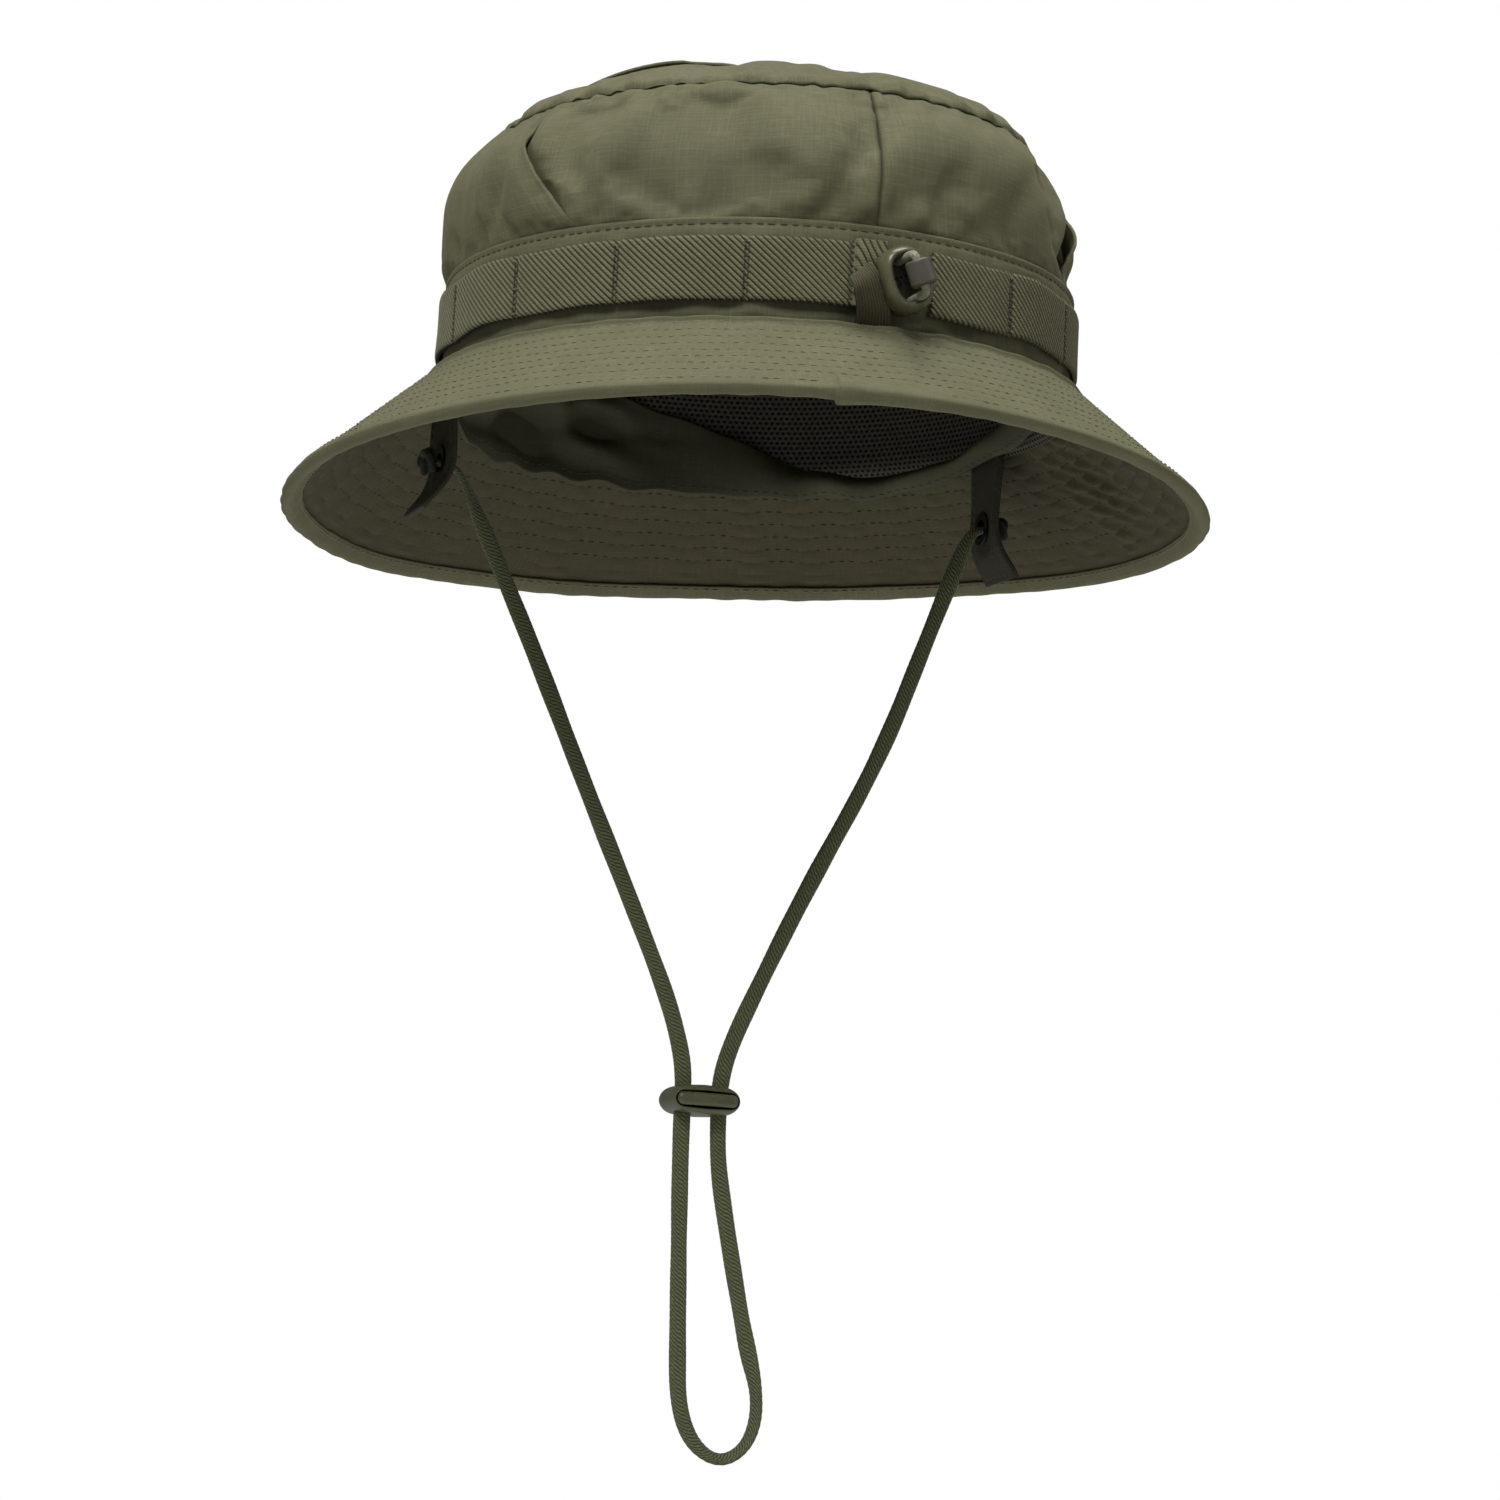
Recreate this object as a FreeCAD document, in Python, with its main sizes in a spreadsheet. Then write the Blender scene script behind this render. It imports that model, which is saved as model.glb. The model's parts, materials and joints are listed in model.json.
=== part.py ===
import FreeCAD, Part
import Sketcher
import math
import os

# A boonie hat: a soft oval crown over a drooping brim, an elastic band sewn into loops round the
# crown, a shock cord with a lock at the back, and a flat chin cord with a sliding lock below.
# Millimetres. +Z is up, the front of the hat is -Y and the wearer's left is +X. The origin is the
# centre of the head opening, where brim and crown are sewn together.

Vector = FreeCAD.Vector
Rotation = FreeCAD.Rotation
Placement = FreeCAD.Placement
AXIS_X, AXIS_Y, AXIS_Z = Vector(1, 0, 0), Vector(0, 1, 0), Vector(0, 0, 1)

doc = FreeCAD.newDocument("boonie_hat")
sheet = doc.addObject("Spreadsheet::Sheet", "sizes")

# ---------------------------------------------------------------- driving dimensions
DIMENSIONS = [
    # the oval: every half length is its half width plus length_extra
    ("length_extra", 11.5),
    ("cloth", 0.6),
    ("gap", 0.3),
    # the layers at the head opening, from the head outwards
    ("head_half_width", 85.6),
    ("sweatband_thick", 1.1),
    ("sweatband_low", -3.0),
    ("sweatband_high", 22.0),
    ("band_half_width", 89.7),
    ("band_thick", 0.75),
    ("band_high", 28.3),
    ("elastic_half_width", 91.2),
    ("elastic_thick", 1.2),
    ("elastic_low", 5.1),
    ("elastic_high", 22.8),
    ("elastic_gap_start", 88.8),
    ("elastic_gap_end", 98.3),
    # the crown's cloth: half width at each level from the seam up to the edge of the tip
    ("wall_low_level", 0.5), ("wall_low_half", 87.5),
    ("wall_band_level", 27.0), ("wall_band_half", 88.2),
    ("wall_belly_level", 36.0), ("wall_belly_half", 90.2),
    ("wall_middle_level", 49.0), ("wall_middle_half", 90.4),
    ("wall_shoulder_level", 57.0), ("wall_shoulder_half", 88.6),
    ("wall_turn_level", 64.0), ("wall_turn_half", 85.0),
    ("wall_bend_level", 69.5), ("wall_bend_half", 81.0),
    ("wall_top_level", 74.0), ("wall_top_half", 76.0),
    ("lining_low", 24.0), ("lining_low_half", 88.12), ("lining_thick", 0.6),
    ("flap_low", 31.0), ("flap_low_half", 89.09),
    ("tip_level", 74.2),
    ("tip_rise", 19.5),
    # where the crown's side is cut into panels, in degrees round from the wearer's left
    ("back_seam_gap", 0.2),
    ("back_panel_end", 22.0),
    ("front_panel_end", 19.0),
    ("flap_start", 9.0),
    ("flap_end", 28.0),
    # the brim: a cone from the head opening to its edge, moved forward by edge_shift
    ("brim_half_width", 91.3),
    ("edge_half_width", 131.3),
    ("edge_half_length", 147.1),
    ("edge_shift", 4.4),
    ("brim_drop", 32.8),
    ("brim_layer", 1.1),
    ("brim_layer_gap", 0.15),
    ("binding_wrap", 1.0),
    ("binding_width", 4.6),
    ("binding_slope", 0.64),
    ("binding_end", 1.03),
    ("binding_clearance", 0.15),
    # chin tabs, eyelets and cord
    ("tab_width", 20.0),
    ("tab_length", 39.5),
    ("tab_thick", 1.6),
    ("tab_top", -3.5),
    ("tab_corner", 3.0),
    ("eyelet_x", 85.0),
    ("eyelet_y", -25.0),
    ("eyelet_z", -25.6),
    ("eyelet_bore", 2.8),
    ("eyelet_barrel", 3.4),
    ("eyelet_flange", 4.9),
    ("eyelet_flange_thick", 0.45),
    ("tab_hole", 3.5),
    ("chin_cord_width", 5.0),
    ("knot_half_length", 3.4),
    ("knot_radius", 4.6),
    # both cord locks are the same part
    ("lock_half_length", 10.5),
    ("lock_half_depth", 7.0),
    ("lock_height", 9.0),
    ("lock_centre_offset", 1.0),
    ("lock_fillet", 2.0),
    ("lock_hole_offset", 5.6),
    ("lock_hole_radius", 2.75),
    ("lock_cavity_half_length", 9.5),
    ("lock_cavity_half_depth", 6.3),
    ("lock_cavity_height", 4.2),
    ("plunger_half_length", 9.3),
    ("plunger_half_depth", 6.2),
    ("plunger_height", 3.9),
    ("plunger_travel", 2.2),
    ("plunger_window", 2.6),
    ("spring_radius", 1.05),
    ("spring_wire", 0.2),
    ("spring_pocket", 1.4),
    ("spring_pocket_end", 1.0),
    ("chin_lock_x", -4.0),
    ("chin_lock_z", -203.0),
    # shock cord, its lock, clamp and tab at the back
    ("rear_lock_x", -2.3),
    ("rear_lock_y", 109.1),
    ("rear_lock_z", 12.2),
    ("rear_lock_tilt", 22.0),
    ("shock_cord", 2.4),
    ("shock_bend", 2.0),
    ("shock_start", 101.5),
    ("clamp_reach", 9.6),
    ("clamp_radius", 3.7),
    ("clamp_half_length", 3.6),
    ("clamp_bore", 1.3),
    ("clamp_fillet", 0.9),
    ("channel_half_width", 88.85),
    ("channel_cord_thick", 0.8),
    ("channel_low", 12.6),
    ("channel_high", 15.4),
    ("lock_tab_width", 10.5),
    ("lock_tab_height", 15.0),
    ("lock_tab_thick", 1.2),
    ("lock_tab_x", 2.7),
    ("lock_tab_y", 103.0),
    ("lock_tab_low", 0.8),
    # a stash pocket on the left half of the tip
    ("pocket_inner", 14.0),
    ("pocket_outer", 58.0),
    ("pocket_half_length", 42.0),
    # bar tacks that sew the elastic band into loops
    ("bartack_width", 1.8),
    ("bartack_thick", 0.5),
]
for row, (alias, value) in enumerate(DIMENSIONS, start=1):
    sheet.set(f"A{row}", str(value))
    sheet.setAlias(f"A{row}", alias)
doc.recompute()

BARTACK_ANGLES = [65, 42, 20, -2, -24, -46, -68, -90, -112, -134, -156, -178, 160, 138, 116.5]


def size(alias):
    """The number in one cell of the sheet."""
    return float(getattr(sheet, alias))


def bind(item, **expressions):
    """Bind properties to the sheet: size__x stands for size.x, and a name in braces is a cell."""
    for path, expression in expressions.items():
        item.setExpression(path.replace("__", "."), expression)


def cell(alias):
    return f"<<sizes>>.{alias}"


def add(kind, name):
    return doc.addObject(kind, name)


def label(item, node):
    item.Label = node
    return item


# ---------------------------------------------------------------- ovals, lofts and sectors
def oval(name, half_width, half_length, level, shift="0"):
    """One oval across the hat; each argument is an expression."""
    ring = add("Part::Ellipse", name)
    ring.Placement = Placement(Vector(), Rotation(AXIS_Z, 90))
    bind(ring, MajorRadius=half_length, MinorRadius=half_width,
         Placement__Base__y=shift, Placement__Base__z=level)
    return ring


def loft(name, ovals):
    """A solid with straight walls from each oval to the next."""
    body = add("Part::Loft", name)
    body.Sections = ovals
    body.Solid = True
    body.Ruled = True
    return body


def cut(name, base, tool):
    result = add("Part::Cut", name)
    result.Base = base
    result.Tool = tool
    return result


def common(name, base, tool):
    result = add("Part::Common", name)
    result.Base = base
    result.Tool = tool
    return result


def fuse(name, shapes):
    result = add("Part::MultiFuse", name)
    result.Shapes = shapes
    return result


def sector(name, start, sweep):
    """A pie slice that reaches past the whole hat; start and sweep are expressions in degrees."""
    slice_ = add("Part::Cylinder", name)
    slice_.Radius = 220
    slice_.Height = 300
    slice_.Placement = Placement(Vector(0, 0, -150), Rotation(AXIS_Z, 0))
    bind(slice_, Angle=sweep, Placement__Rotation__Angle=start)
    return slice_


def straight_shell(name, outer_half, thick, low, high):
    """An upright oval band: outer half width, thickness and the two levels."""
    extra = cell("length_extra")
    outer = loft(name + "_outer", [
        oval(name + "_outer_low", outer_half, f"{outer_half} + {extra}", low),
        oval(name + "_outer_high", outer_half, f"{outer_half} + {extra}", high)])
    inner_half = f"{outer_half} - {thick}"
    inner = loft(name + "_inner", [
        oval(name + "_inner_low", inner_half, f"{inner_half} + {extra}", f"{low} - 1"),
        oval(name + "_inner_high", inner_half, f"{inner_half} + {extra}", f"{high} + 1")])
    return cut(name + "_shell", outer, inner)


# the crown's side, level by level; lean makes up for the slope where the wall bends inwards
WALL_LEVELS = [("wall_low", 1.0), ("wall_band", 1.0), ("wall_belly", 1.0), ("wall_middle", 1.0),
               ("wall_shoulder", 1.1), ("wall_turn", 1.2), ("wall_bend", 1.5), ("wall_top", 1.9)]


def wall_loft(name, inset, levels):
    """A loft of the crown's outer face moved inwards by inset (negative is outwards)."""
    rings = []
    for step, (alias, lean) in enumerate(levels):
        level = cell(alias + "_level" if alias.startswith("wall") else alias)
        half = f"{cell(alias + '_half')} - ({inset}) * {lean}"
        rings.append(oval(f"{name}_{step}", half, f"{half} + {cell('length_extra')}", level))
    return loft(name, rings)


def wall_shell(name, inset, thick, levels):
    outer = wall_loft(name + "_outer", inset, levels)
    inner = wall_loft(name + "_inner", f"{inset} + {thick}", levels)
    return cut(name + "_shell", outer, inner)


def dome(name, inset):
    """Half an ellipsoid on the crown's top edge."""
    half = add("Part::Ellipsoid", name)
    bind(half, Radius1=f"{cell('tip_rise')} - ({inset})",
         Radius2=f"{cell('wall_top_half')} - ({inset})",
         Radius3=f"{cell('wall_top_half')} + {cell('length_extra')} - ({inset})",
         Placement__Base__z=cell("tip_level"))
    half.Angle1 = 0
    half.Angle2 = 90
    return half


def brim_cone(name, offset, top="0", bottom="1"):
    """The brim's cone moved outwards by offset; top and bottom are shares of the brim's drop."""
    rings = []
    for end, share in (("top", top), ("bottom", bottom)):
        half = (f"{cell('brim_half_width')} + ({cell('edge_half_width')}"
                f" - {cell('brim_half_width')}) * ({share}) + ({offset})")
        length = (f"{cell('brim_half_width')} + {cell('length_extra')}"
                  f" + ({cell('edge_half_length')} - {cell('brim_half_width')}"
                  f" - {cell('length_extra')}) * ({share}) + ({offset})")
        rings.append(oval(f"{name}_{end}", half, length, f"-{cell('brim_drop')} * ({share})",
                          f"-{cell('edge_shift')} * ({share})"))
    return loft(name, rings)


# ---------------------------------------------------------------- crown
def make_crown():
    cloth = cell("cloth")
    wall = wall_shell("wall", "0", cloth, WALL_LEVELS)
    front = sector("front_sector", f"180 - {cell('front_panel_end')}",
                   f"180 + 2 * {cell('front_panel_end')}")
    label(common("front_panel", wall, front), "crown_front_panel")
    back_sweep = f"90 - {cell('back_panel_end')} - {cell('back_seam_gap')}"
    left = sector("back_left_sector", cell("back_panel_end"), back_sweep)
    label(common("back_left", wall, left), "crown_back_panel_left")
    right = sector("back_right_sector", f"90 + {cell('back_seam_gap')}", back_sweep)
    label(common("back_right", wall, right), "crown_back_panel_right")

    tip = cut("tip_shell", dome("tip_outer", "0"), dome("tip_inner", cloth))
    label(tip, "crown_tip")

    # the hemmed rear edges of the front panel, which lie over the back panels as vent flaps
    flap_levels = [("flap_low", 1.0), ("wall_belly", 1.0), ("wall_middle", 1.0),
                   ("wall_shoulder", 1.1), ("wall_turn", 1.2)]
    over = f"-{cell('gap')} - {cloth}"
    flaps = wall_shell("flap", over, cloth, flap_levels)
    flap_sweep = f"{cell('flap_end')} - {cell('flap_start')}"
    left_flap = sector("flap_left_sector", cell("flap_start"), flap_sweep)
    label(common("flap_left", flaps, left_flap), "vent_flap_left")
    right_flap = sector("flap_right_sector", f"180 - {cell('flap_end')}", flap_sweep)
    label(common("flap_right", flaps, right_flap), "vent_flap_right")

    # mesh lining, side and top
    lining_levels = [("lining_low", 1.0)] + WALL_LEVELS[1:]
    inside = f"{cloth} + {cell('gap')}"
    label(wall_shell("lining", inside, cell("lining_thick"), lining_levels), "crown_lining")
    top = cut("tip_lining_shell", dome("tip_lining_outer", inside),
              dome("tip_lining_inner", f"{inside} + {cell('lining_thick')}"))
    label(top, "tip_lining")

    # stash pocket: a patch that lies on the tip
    patch = cut("pocket_skin", dome("pocket_outer_dome", f"-{cell('gap')} - {cloth}"),
                dome("pocket_inner_dome", f"-{cell('gap')}"))
    window = add("Part::Box", "pocket_window")
    bind(window, Length=f"{cell('pocket_outer')} - {cell('pocket_inner')}",
         Width=f"2 * {cell('pocket_half_length')}", Placement__Base__x=cell("pocket_inner"),
         Placement__Base__y=f"-{cell('pocket_half_length')}", Placement__Base__z=cell("tip_level"))
    window.Height = 60
    label(common("pocket", patch, window), "tip_pocket")


# ---------------------------------------------------------------- bands round the crown
def make_bands():
    label(straight_shell("sweat", f"{cell('head_half_width')} + {cell('sweatband_thick')}",
                         cell("sweatband_thick"), cell("sweatband_low"), cell("sweatband_high")),
          "sweatband")
    label(straight_shell("base_band", cell("band_half_width"), cell("band_thick"),
                         cell("wall_low_level"), cell("band_high")), "crown_base_band")
    elastic = straight_shell("elastic", cell("elastic_half_width"), cell("elastic_thick"),
                             cell("elastic_low"), cell("elastic_high"))
    open_part = sector("elastic_sector", cell("elastic_gap_end"),
                       f"360 - {cell('elastic_gap_end')} + {cell('elastic_gap_start')}")
    label(common("elastic_open", elastic, open_part), "elastic_band")

    # one bar tack at each loop's end, standing on the elastic's face
    tacks = []
    half = size("elastic_half_width") + 0.1
    length = half + size("length_extra")
    for step, degrees in enumerate(BARTACK_ANGLES):
        angle = math.radians(degrees)
        point = Vector(half * math.cos(angle), length * math.sin(angle), 0)
        normal = math.degrees(math.atan2(math.sin(angle) / length, math.cos(angle) / half))
        tack = add("Part::Box", f"bartack_{step}")
        bind(tack, Length=cell("bartack_thick"), Width=cell("bartack_width"),
             Height=f"{cell('elastic_high')} - {cell('elastic_low')} - 1")
        turn = Rotation(AXIS_Z, normal)
        corner = turn.multVec(Vector(0, -size("bartack_width") / 2, 0))
        tack.Placement = Placement(point + corner + Vector(0, 0, size("elastic_low") + 0.5), turn)
        tacks.append(tack)
    label(fuse("bartacks", tacks), "band_bartacks")


# ---------------------------------------------------------------- brim
def make_brim():
    pitch = size("brim_layer") + size("brim_layer_gap")
    for place, node in enumerate(("brim_top", "brim_interlining", "brim_underside")):
        outside = -pitch * place
        outer = brim_cone(node + "_outer", f"{outside}")
        inner = brim_cone(node + "_inner", f"{outside} - {cell('brim_layer')}", "-0.02", "1.02")
        label(cut(node + "_shell", outer, inner), node)

    # a strip of cloth folded round the edge: a thick ring with a groove for the three layers
    start = f"1 - {cell('binding_width')} * {cell('binding_slope')} / {cell('brim_drop')}"
    end = cell("binding_end")
    clear = cell("binding_clearance")
    depth = 3 * size("brim_layer") + 2 * size("brim_layer_gap")
    block = cut("binding_block", brim_cone("binding_outer", cell("binding_wrap"), start, end),
                brim_cone("binding_inner", f"-{depth} - {cell('binding_wrap')}",
                          f"{start} - 0.05", "1.08"))
    groove = cut("binding_groove",
                 brim_cone("groove_outer", clear, f"{start} - 0.1", "1.004"),
                 brim_cone("groove_inner", f"-{depth} - {clear}", f"{start} - 0.12", "1.02"))
    label(cut("binding", block, groove), "brim_binding")


# ---------------------------------------------------------------- part design helpers
def plane(body, role):
    return next(item for item in body.Origin.OriginFeatures if item.Role == role)


def sketch(body, name, role):
    result = body.newObject("Sketcher::SketchObject", name)
    result.AttachmentSupport = [(plane(body, role), "")]
    result.MapMode = "FlatFace"
    return result


def constraint(*values):
    return Sketcher.Constraint(*values)


def closed_lines(sk, points):
    """A closed outline of straight lines, its corners joined."""
    first = sk.GeometryCount
    count = len(points)
    for step in range(count):
        a, b = points[step], points[(step + 1) % count]
        sk.addGeometry(Part.LineSegment(Vector(a[0], a[1], 0), Vector(b[0], b[1], 0)))
    for step in range(count):
        following = first + (step + 1) % count
        sk.addConstraint(constraint("Coincident", first + step, 2, following, 1))


# ---------------------------------------------------------------- chin tabs, eyelets, knots
def side_placement(side):
    """The eyelet's place on one side, its axis along X and outwards."""
    turn = Rotation(AXIS_Y, 90 if side > 0 else -90)
    return Placement(Vector(side * size("eyelet_x"), size("eyelet_y"), size("eyelet_z")), turn)


def make_side(side, word):
    # tab: an upright strip that hangs below the brim's seam, with a hole for its eyelet
    tab = add("Part::Box", f"tab_{word}_strip")
    bind(tab, Length=cell("tab_thick"), Width=cell("tab_width"), Height=cell("tab_length"))
    tab.Placement = Placement(
        Vector(side * size("eyelet_x") - size("tab_thick") / 2,
               size("eyelet_y") - size("tab_width") / 2, size("tab_top") - size("tab_length")),
        Rotation())
    rounded = add("Part::Fillet", f"tab_{word}_rounded")
    rounded.Base = tab
    corner = size("tab_corner")
    rounded.Edges = [(edge, corner, corner) for edge in tab_corner_edges(tab)]
    hole = add("Part::Cylinder", f"tab_{word}_hole")
    bind(hole, Radius=cell("tab_hole"))
    hole.Height = 10
    hole.Placement = Placement(
        Vector(side * size("eyelet_x") - 5, size("eyelet_y"), size("eyelet_z")), Rotation(AXIS_Y, 90))
    label(cut(f"tab_{word}", rounded, hole), f"chin_tab_{word}")

    # eyelet: a barrel through the tab with a flange rolled over each face
    eyelet = add("PartDesign::Body", f"eyelet_{word}")
    half = size("tab_thick") / 2 + 0.05
    rim = half + size("eyelet_flange_thick")
    profile = sketch(eyelet, f"eyelet_{word}_profile", "XZ_Plane")
    closed_lines(profile, [
        (size("eyelet_bore"), -rim), (size("eyelet_flange"), -rim), (size("eyelet_flange"), -half),
        (size("eyelet_barrel"), -half), (size("eyelet_barrel"), half), (size("eyelet_flange"), half),
        (size("eyelet_flange"), rim), (size("eyelet_bore"), rim)])
    turned = eyelet.newObject("PartDesign::Revolution", f"eyelet_{word}_turned")
    turned.Profile = profile
    turned.ReferenceAxis = (profile, ["V_Axis"])
    turned.Angle = 360
    eyelet.Placement = side_placement(side)
    label(eyelet, f"chin_eyelet_{word}")

    # knot: the cord's end, too big for the eyelet, on the tab's outer side
    knot = add("Part::Ellipsoid", f"knot_{word}")
    bind(knot, Radius1=cell("knot_half_length"), Radius2=cell("knot_radius"),
         Radius3=cell("knot_radius"))
    reach = size("eyelet_x") + rim + size("knot_half_length") + 0.1
    knot.Placement = Placement(Vector(side * reach, size("eyelet_y"), size("eyelet_z")),
                               Rotation(AXIS_Y, 90))
    label(knot, f"cord_knot_{word}")


def tab_corner_edges(tab):
    """The two edges along X at the strip's lower end."""
    doc.recompute()
    found = []
    for number, edge in enumerate(tab.Shape.Edges, start=1):
        a, b = edge.Vertexes[0].Point, edge.Vertexes[1].Point
        along_x = abs(a.y - b.y) < 1e-6 and abs(a.z - b.z) < 1e-6
        if along_x and a.z < tab.Shape.BoundBox.ZMin + 1e-6:
            found.append(number)
    return found


# ---------------------------------------------------------------- cords
def cord(node, points, diameter):
    """A tube along straight runs joined by tangent arcs, as large as the two runs allow."""
    corners = [Vector(*point) for point in points]
    edges = []
    radii = []
    start = corners[0]
    for before, here, after in zip(corners, corners[1:], corners[2:]):
        coming, going = here - before, after - here
        shorter = min(coming.Length, going.Length)
        turn = coming.getAngle(going)
        reach = 0.45 * shorter
        radii.append(reach / math.tan(turn / 2))
        coming.normalize()
        going.normalize()
        enter, leave = here - coming * reach, here + going * reach
        inward = (going - coming).normalize()
        sagitta = radii[-1] / math.cos(turn / 2) - radii[-1]
        edges.append(Part.LineSegment(start, enter).toShape())
        edges.append(Part.Arc(enter, here + inward * sagitta, leave).toShape())
        start = leave
    edges.append(Part.LineSegment(start, corners[-1]).toShape())
    path = Part.Wire(edges)
    first = (corners[1] - corners[0]).normalize()
    section = Part.Wire(Part.Circle(corners[0], first, diameter / 2).toShape())
    tube = path.makePipeShell([section], True, True)
    expected = math.pi * diameter ** 2 / 4 * path.Length
    smallest = ", ".join(f"{radius:.0f}" for radius in radii)
    print(f"{node}: length {path.Length:.1f}, radii {smallest}, "
          f"volume {tube.Volume:.0f} of {expected:.0f}")
    if abs(tube.Volume / expected - 1) > 0.03:
        raise RuntimeError(f"{node} has the wrong volume")
    feature = add("Part::Feature", node)
    feature.Shape = tube
    label(feature, node)
    return feature


CORD_Y = size("eyelet_y")
LOCK_LEFT = size("chin_lock_x") + size("lock_hole_offset")
LOCK_RIGHT = size("chin_lock_x") - size("lock_hole_offset")
LOCK_Z = size("chin_lock_z")
EYELET_Z = size("eyelet_z")

# the flat chin cord, drawn as a round tube of its width: from each knot, in through its eyelet and
# down to the lock, then one loop below the lock
LEFT_STRAND = [
    (87.6, CORD_Y, EYELET_Z), (81.8, CORD_Y, -25.8), (78.0, CORD_Y, -30.3), (74.2, CORD_Y, -38.5),
    (65.8, CORD_Y, -54.5), (53.6, CORD_Y, -78.5), (36.6, CORD_Y, -114.5), (18.2, CORD_Y, -152.0),
    (7.6, CORD_Y, -174.5), (2.8, CORD_Y, -189.0), (LOCK_LEFT, CORD_Y, -197.5), (LOCK_LEFT, CORD_Y, LOCK_Z),
]
RIGHT_STRAND = [
    (-87.6, CORD_Y, EYELET_Z), (-82.0, CORD_Y, -25.8), (-79.0, CORD_Y, -31.0), (-75.2, CORD_Y, -41.5),
    (-68.2, CORD_Y, -60.5), (-54.8, CORD_Y, -98.0), (-33.6, CORD_Y, -138.8), (-19.2, CORD_Y, -170.2),
    (-12.4, CORD_Y, -186.0), (LOCK_RIGHT, CORD_Y, -196.8), (LOCK_RIGHT, CORD_Y, LOCK_Z),
]
LOOP = [
    (LOCK_LEFT, CORD_Y, LOCK_Z), (LOCK_LEFT, CORD_Y, -210.0), (1.2, CORD_Y, -226.0),
    (0.4, CORD_Y, -247.0), (-0.6, CORD_Y, -272.0), (-1.6, CORD_Y, -290.5), (-6.5, CORD_Y, -301.5),
    (-15.5, CORD_Y, -306.5), (-24.0, CORD_Y, -301.0), (-26.6, CORD_Y, -288.5),
    (-21.4, CORD_Y, -271.0), (-17.4, CORD_Y, -254.5), (-13.2, CORD_Y, -236.0),
    (-10.4, CORD_Y, -222.0), (LOCK_RIGHT, CORD_Y, -210.5), (LOCK_RIGHT, CORD_Y, LOCK_Z),
]


def make_cords():
    width = size("chin_cord_width")
    cord("chin_cord_left", LEFT_STRAND, width)
    cord("chin_cord_right", RIGHT_STRAND, width)
    cord("chin_cord_loop", LOOP, width)


# ---------------------------------------------------------------- cord locks
def prism(name, half_length, half_depth, offset, height):
    """An oval prism about the lock's cord axis (local Z), moved by offset along local Y."""
    ring = add("Part::Ellipse", name + "_outline")
    bind(ring, MajorRadius=half_length, MinorRadius=half_depth, Placement__Base__y=offset,
         Placement__Base__z=f"-({height}) / 2")
    solid = add("Part::Extrusion", name)
    solid.Base = ring
    solid.DirMode = "Custom"
    solid.Dir = AXIS_Z
    solid.Solid = True
    bind(solid, LengthFwd=height)
    return solid


def bore(name, x, y, radius, height):
    hole = add("Part::Cylinder", name)
    bind(hole, Radius=radius, Height=height, Placement__Base__x=x, Placement__Base__y=y,
         Placement__Base__z=f"-({height}) / 2")
    return hole


def block(name, half_length, low_y, high_y, height):
    box = add("Part::Box", name)
    bind(box, Length=f"2 * ({half_length})", Width=f"({high_y}) - ({low_y})", Height=height,
         Placement__Base__x=f"-({half_length})", Placement__Base__y=low_y,
         Placement__Base__z=f"-({height}) / 2")
    return box


def placed(name, source, placement):
    """A copy of a piece drawn in the lock's own frame, put where this lock is."""
    whole = add("Part::MultiFuse", name)
    whole.Shapes = [source]
    whole.Placement = placement
    return whole


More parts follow.
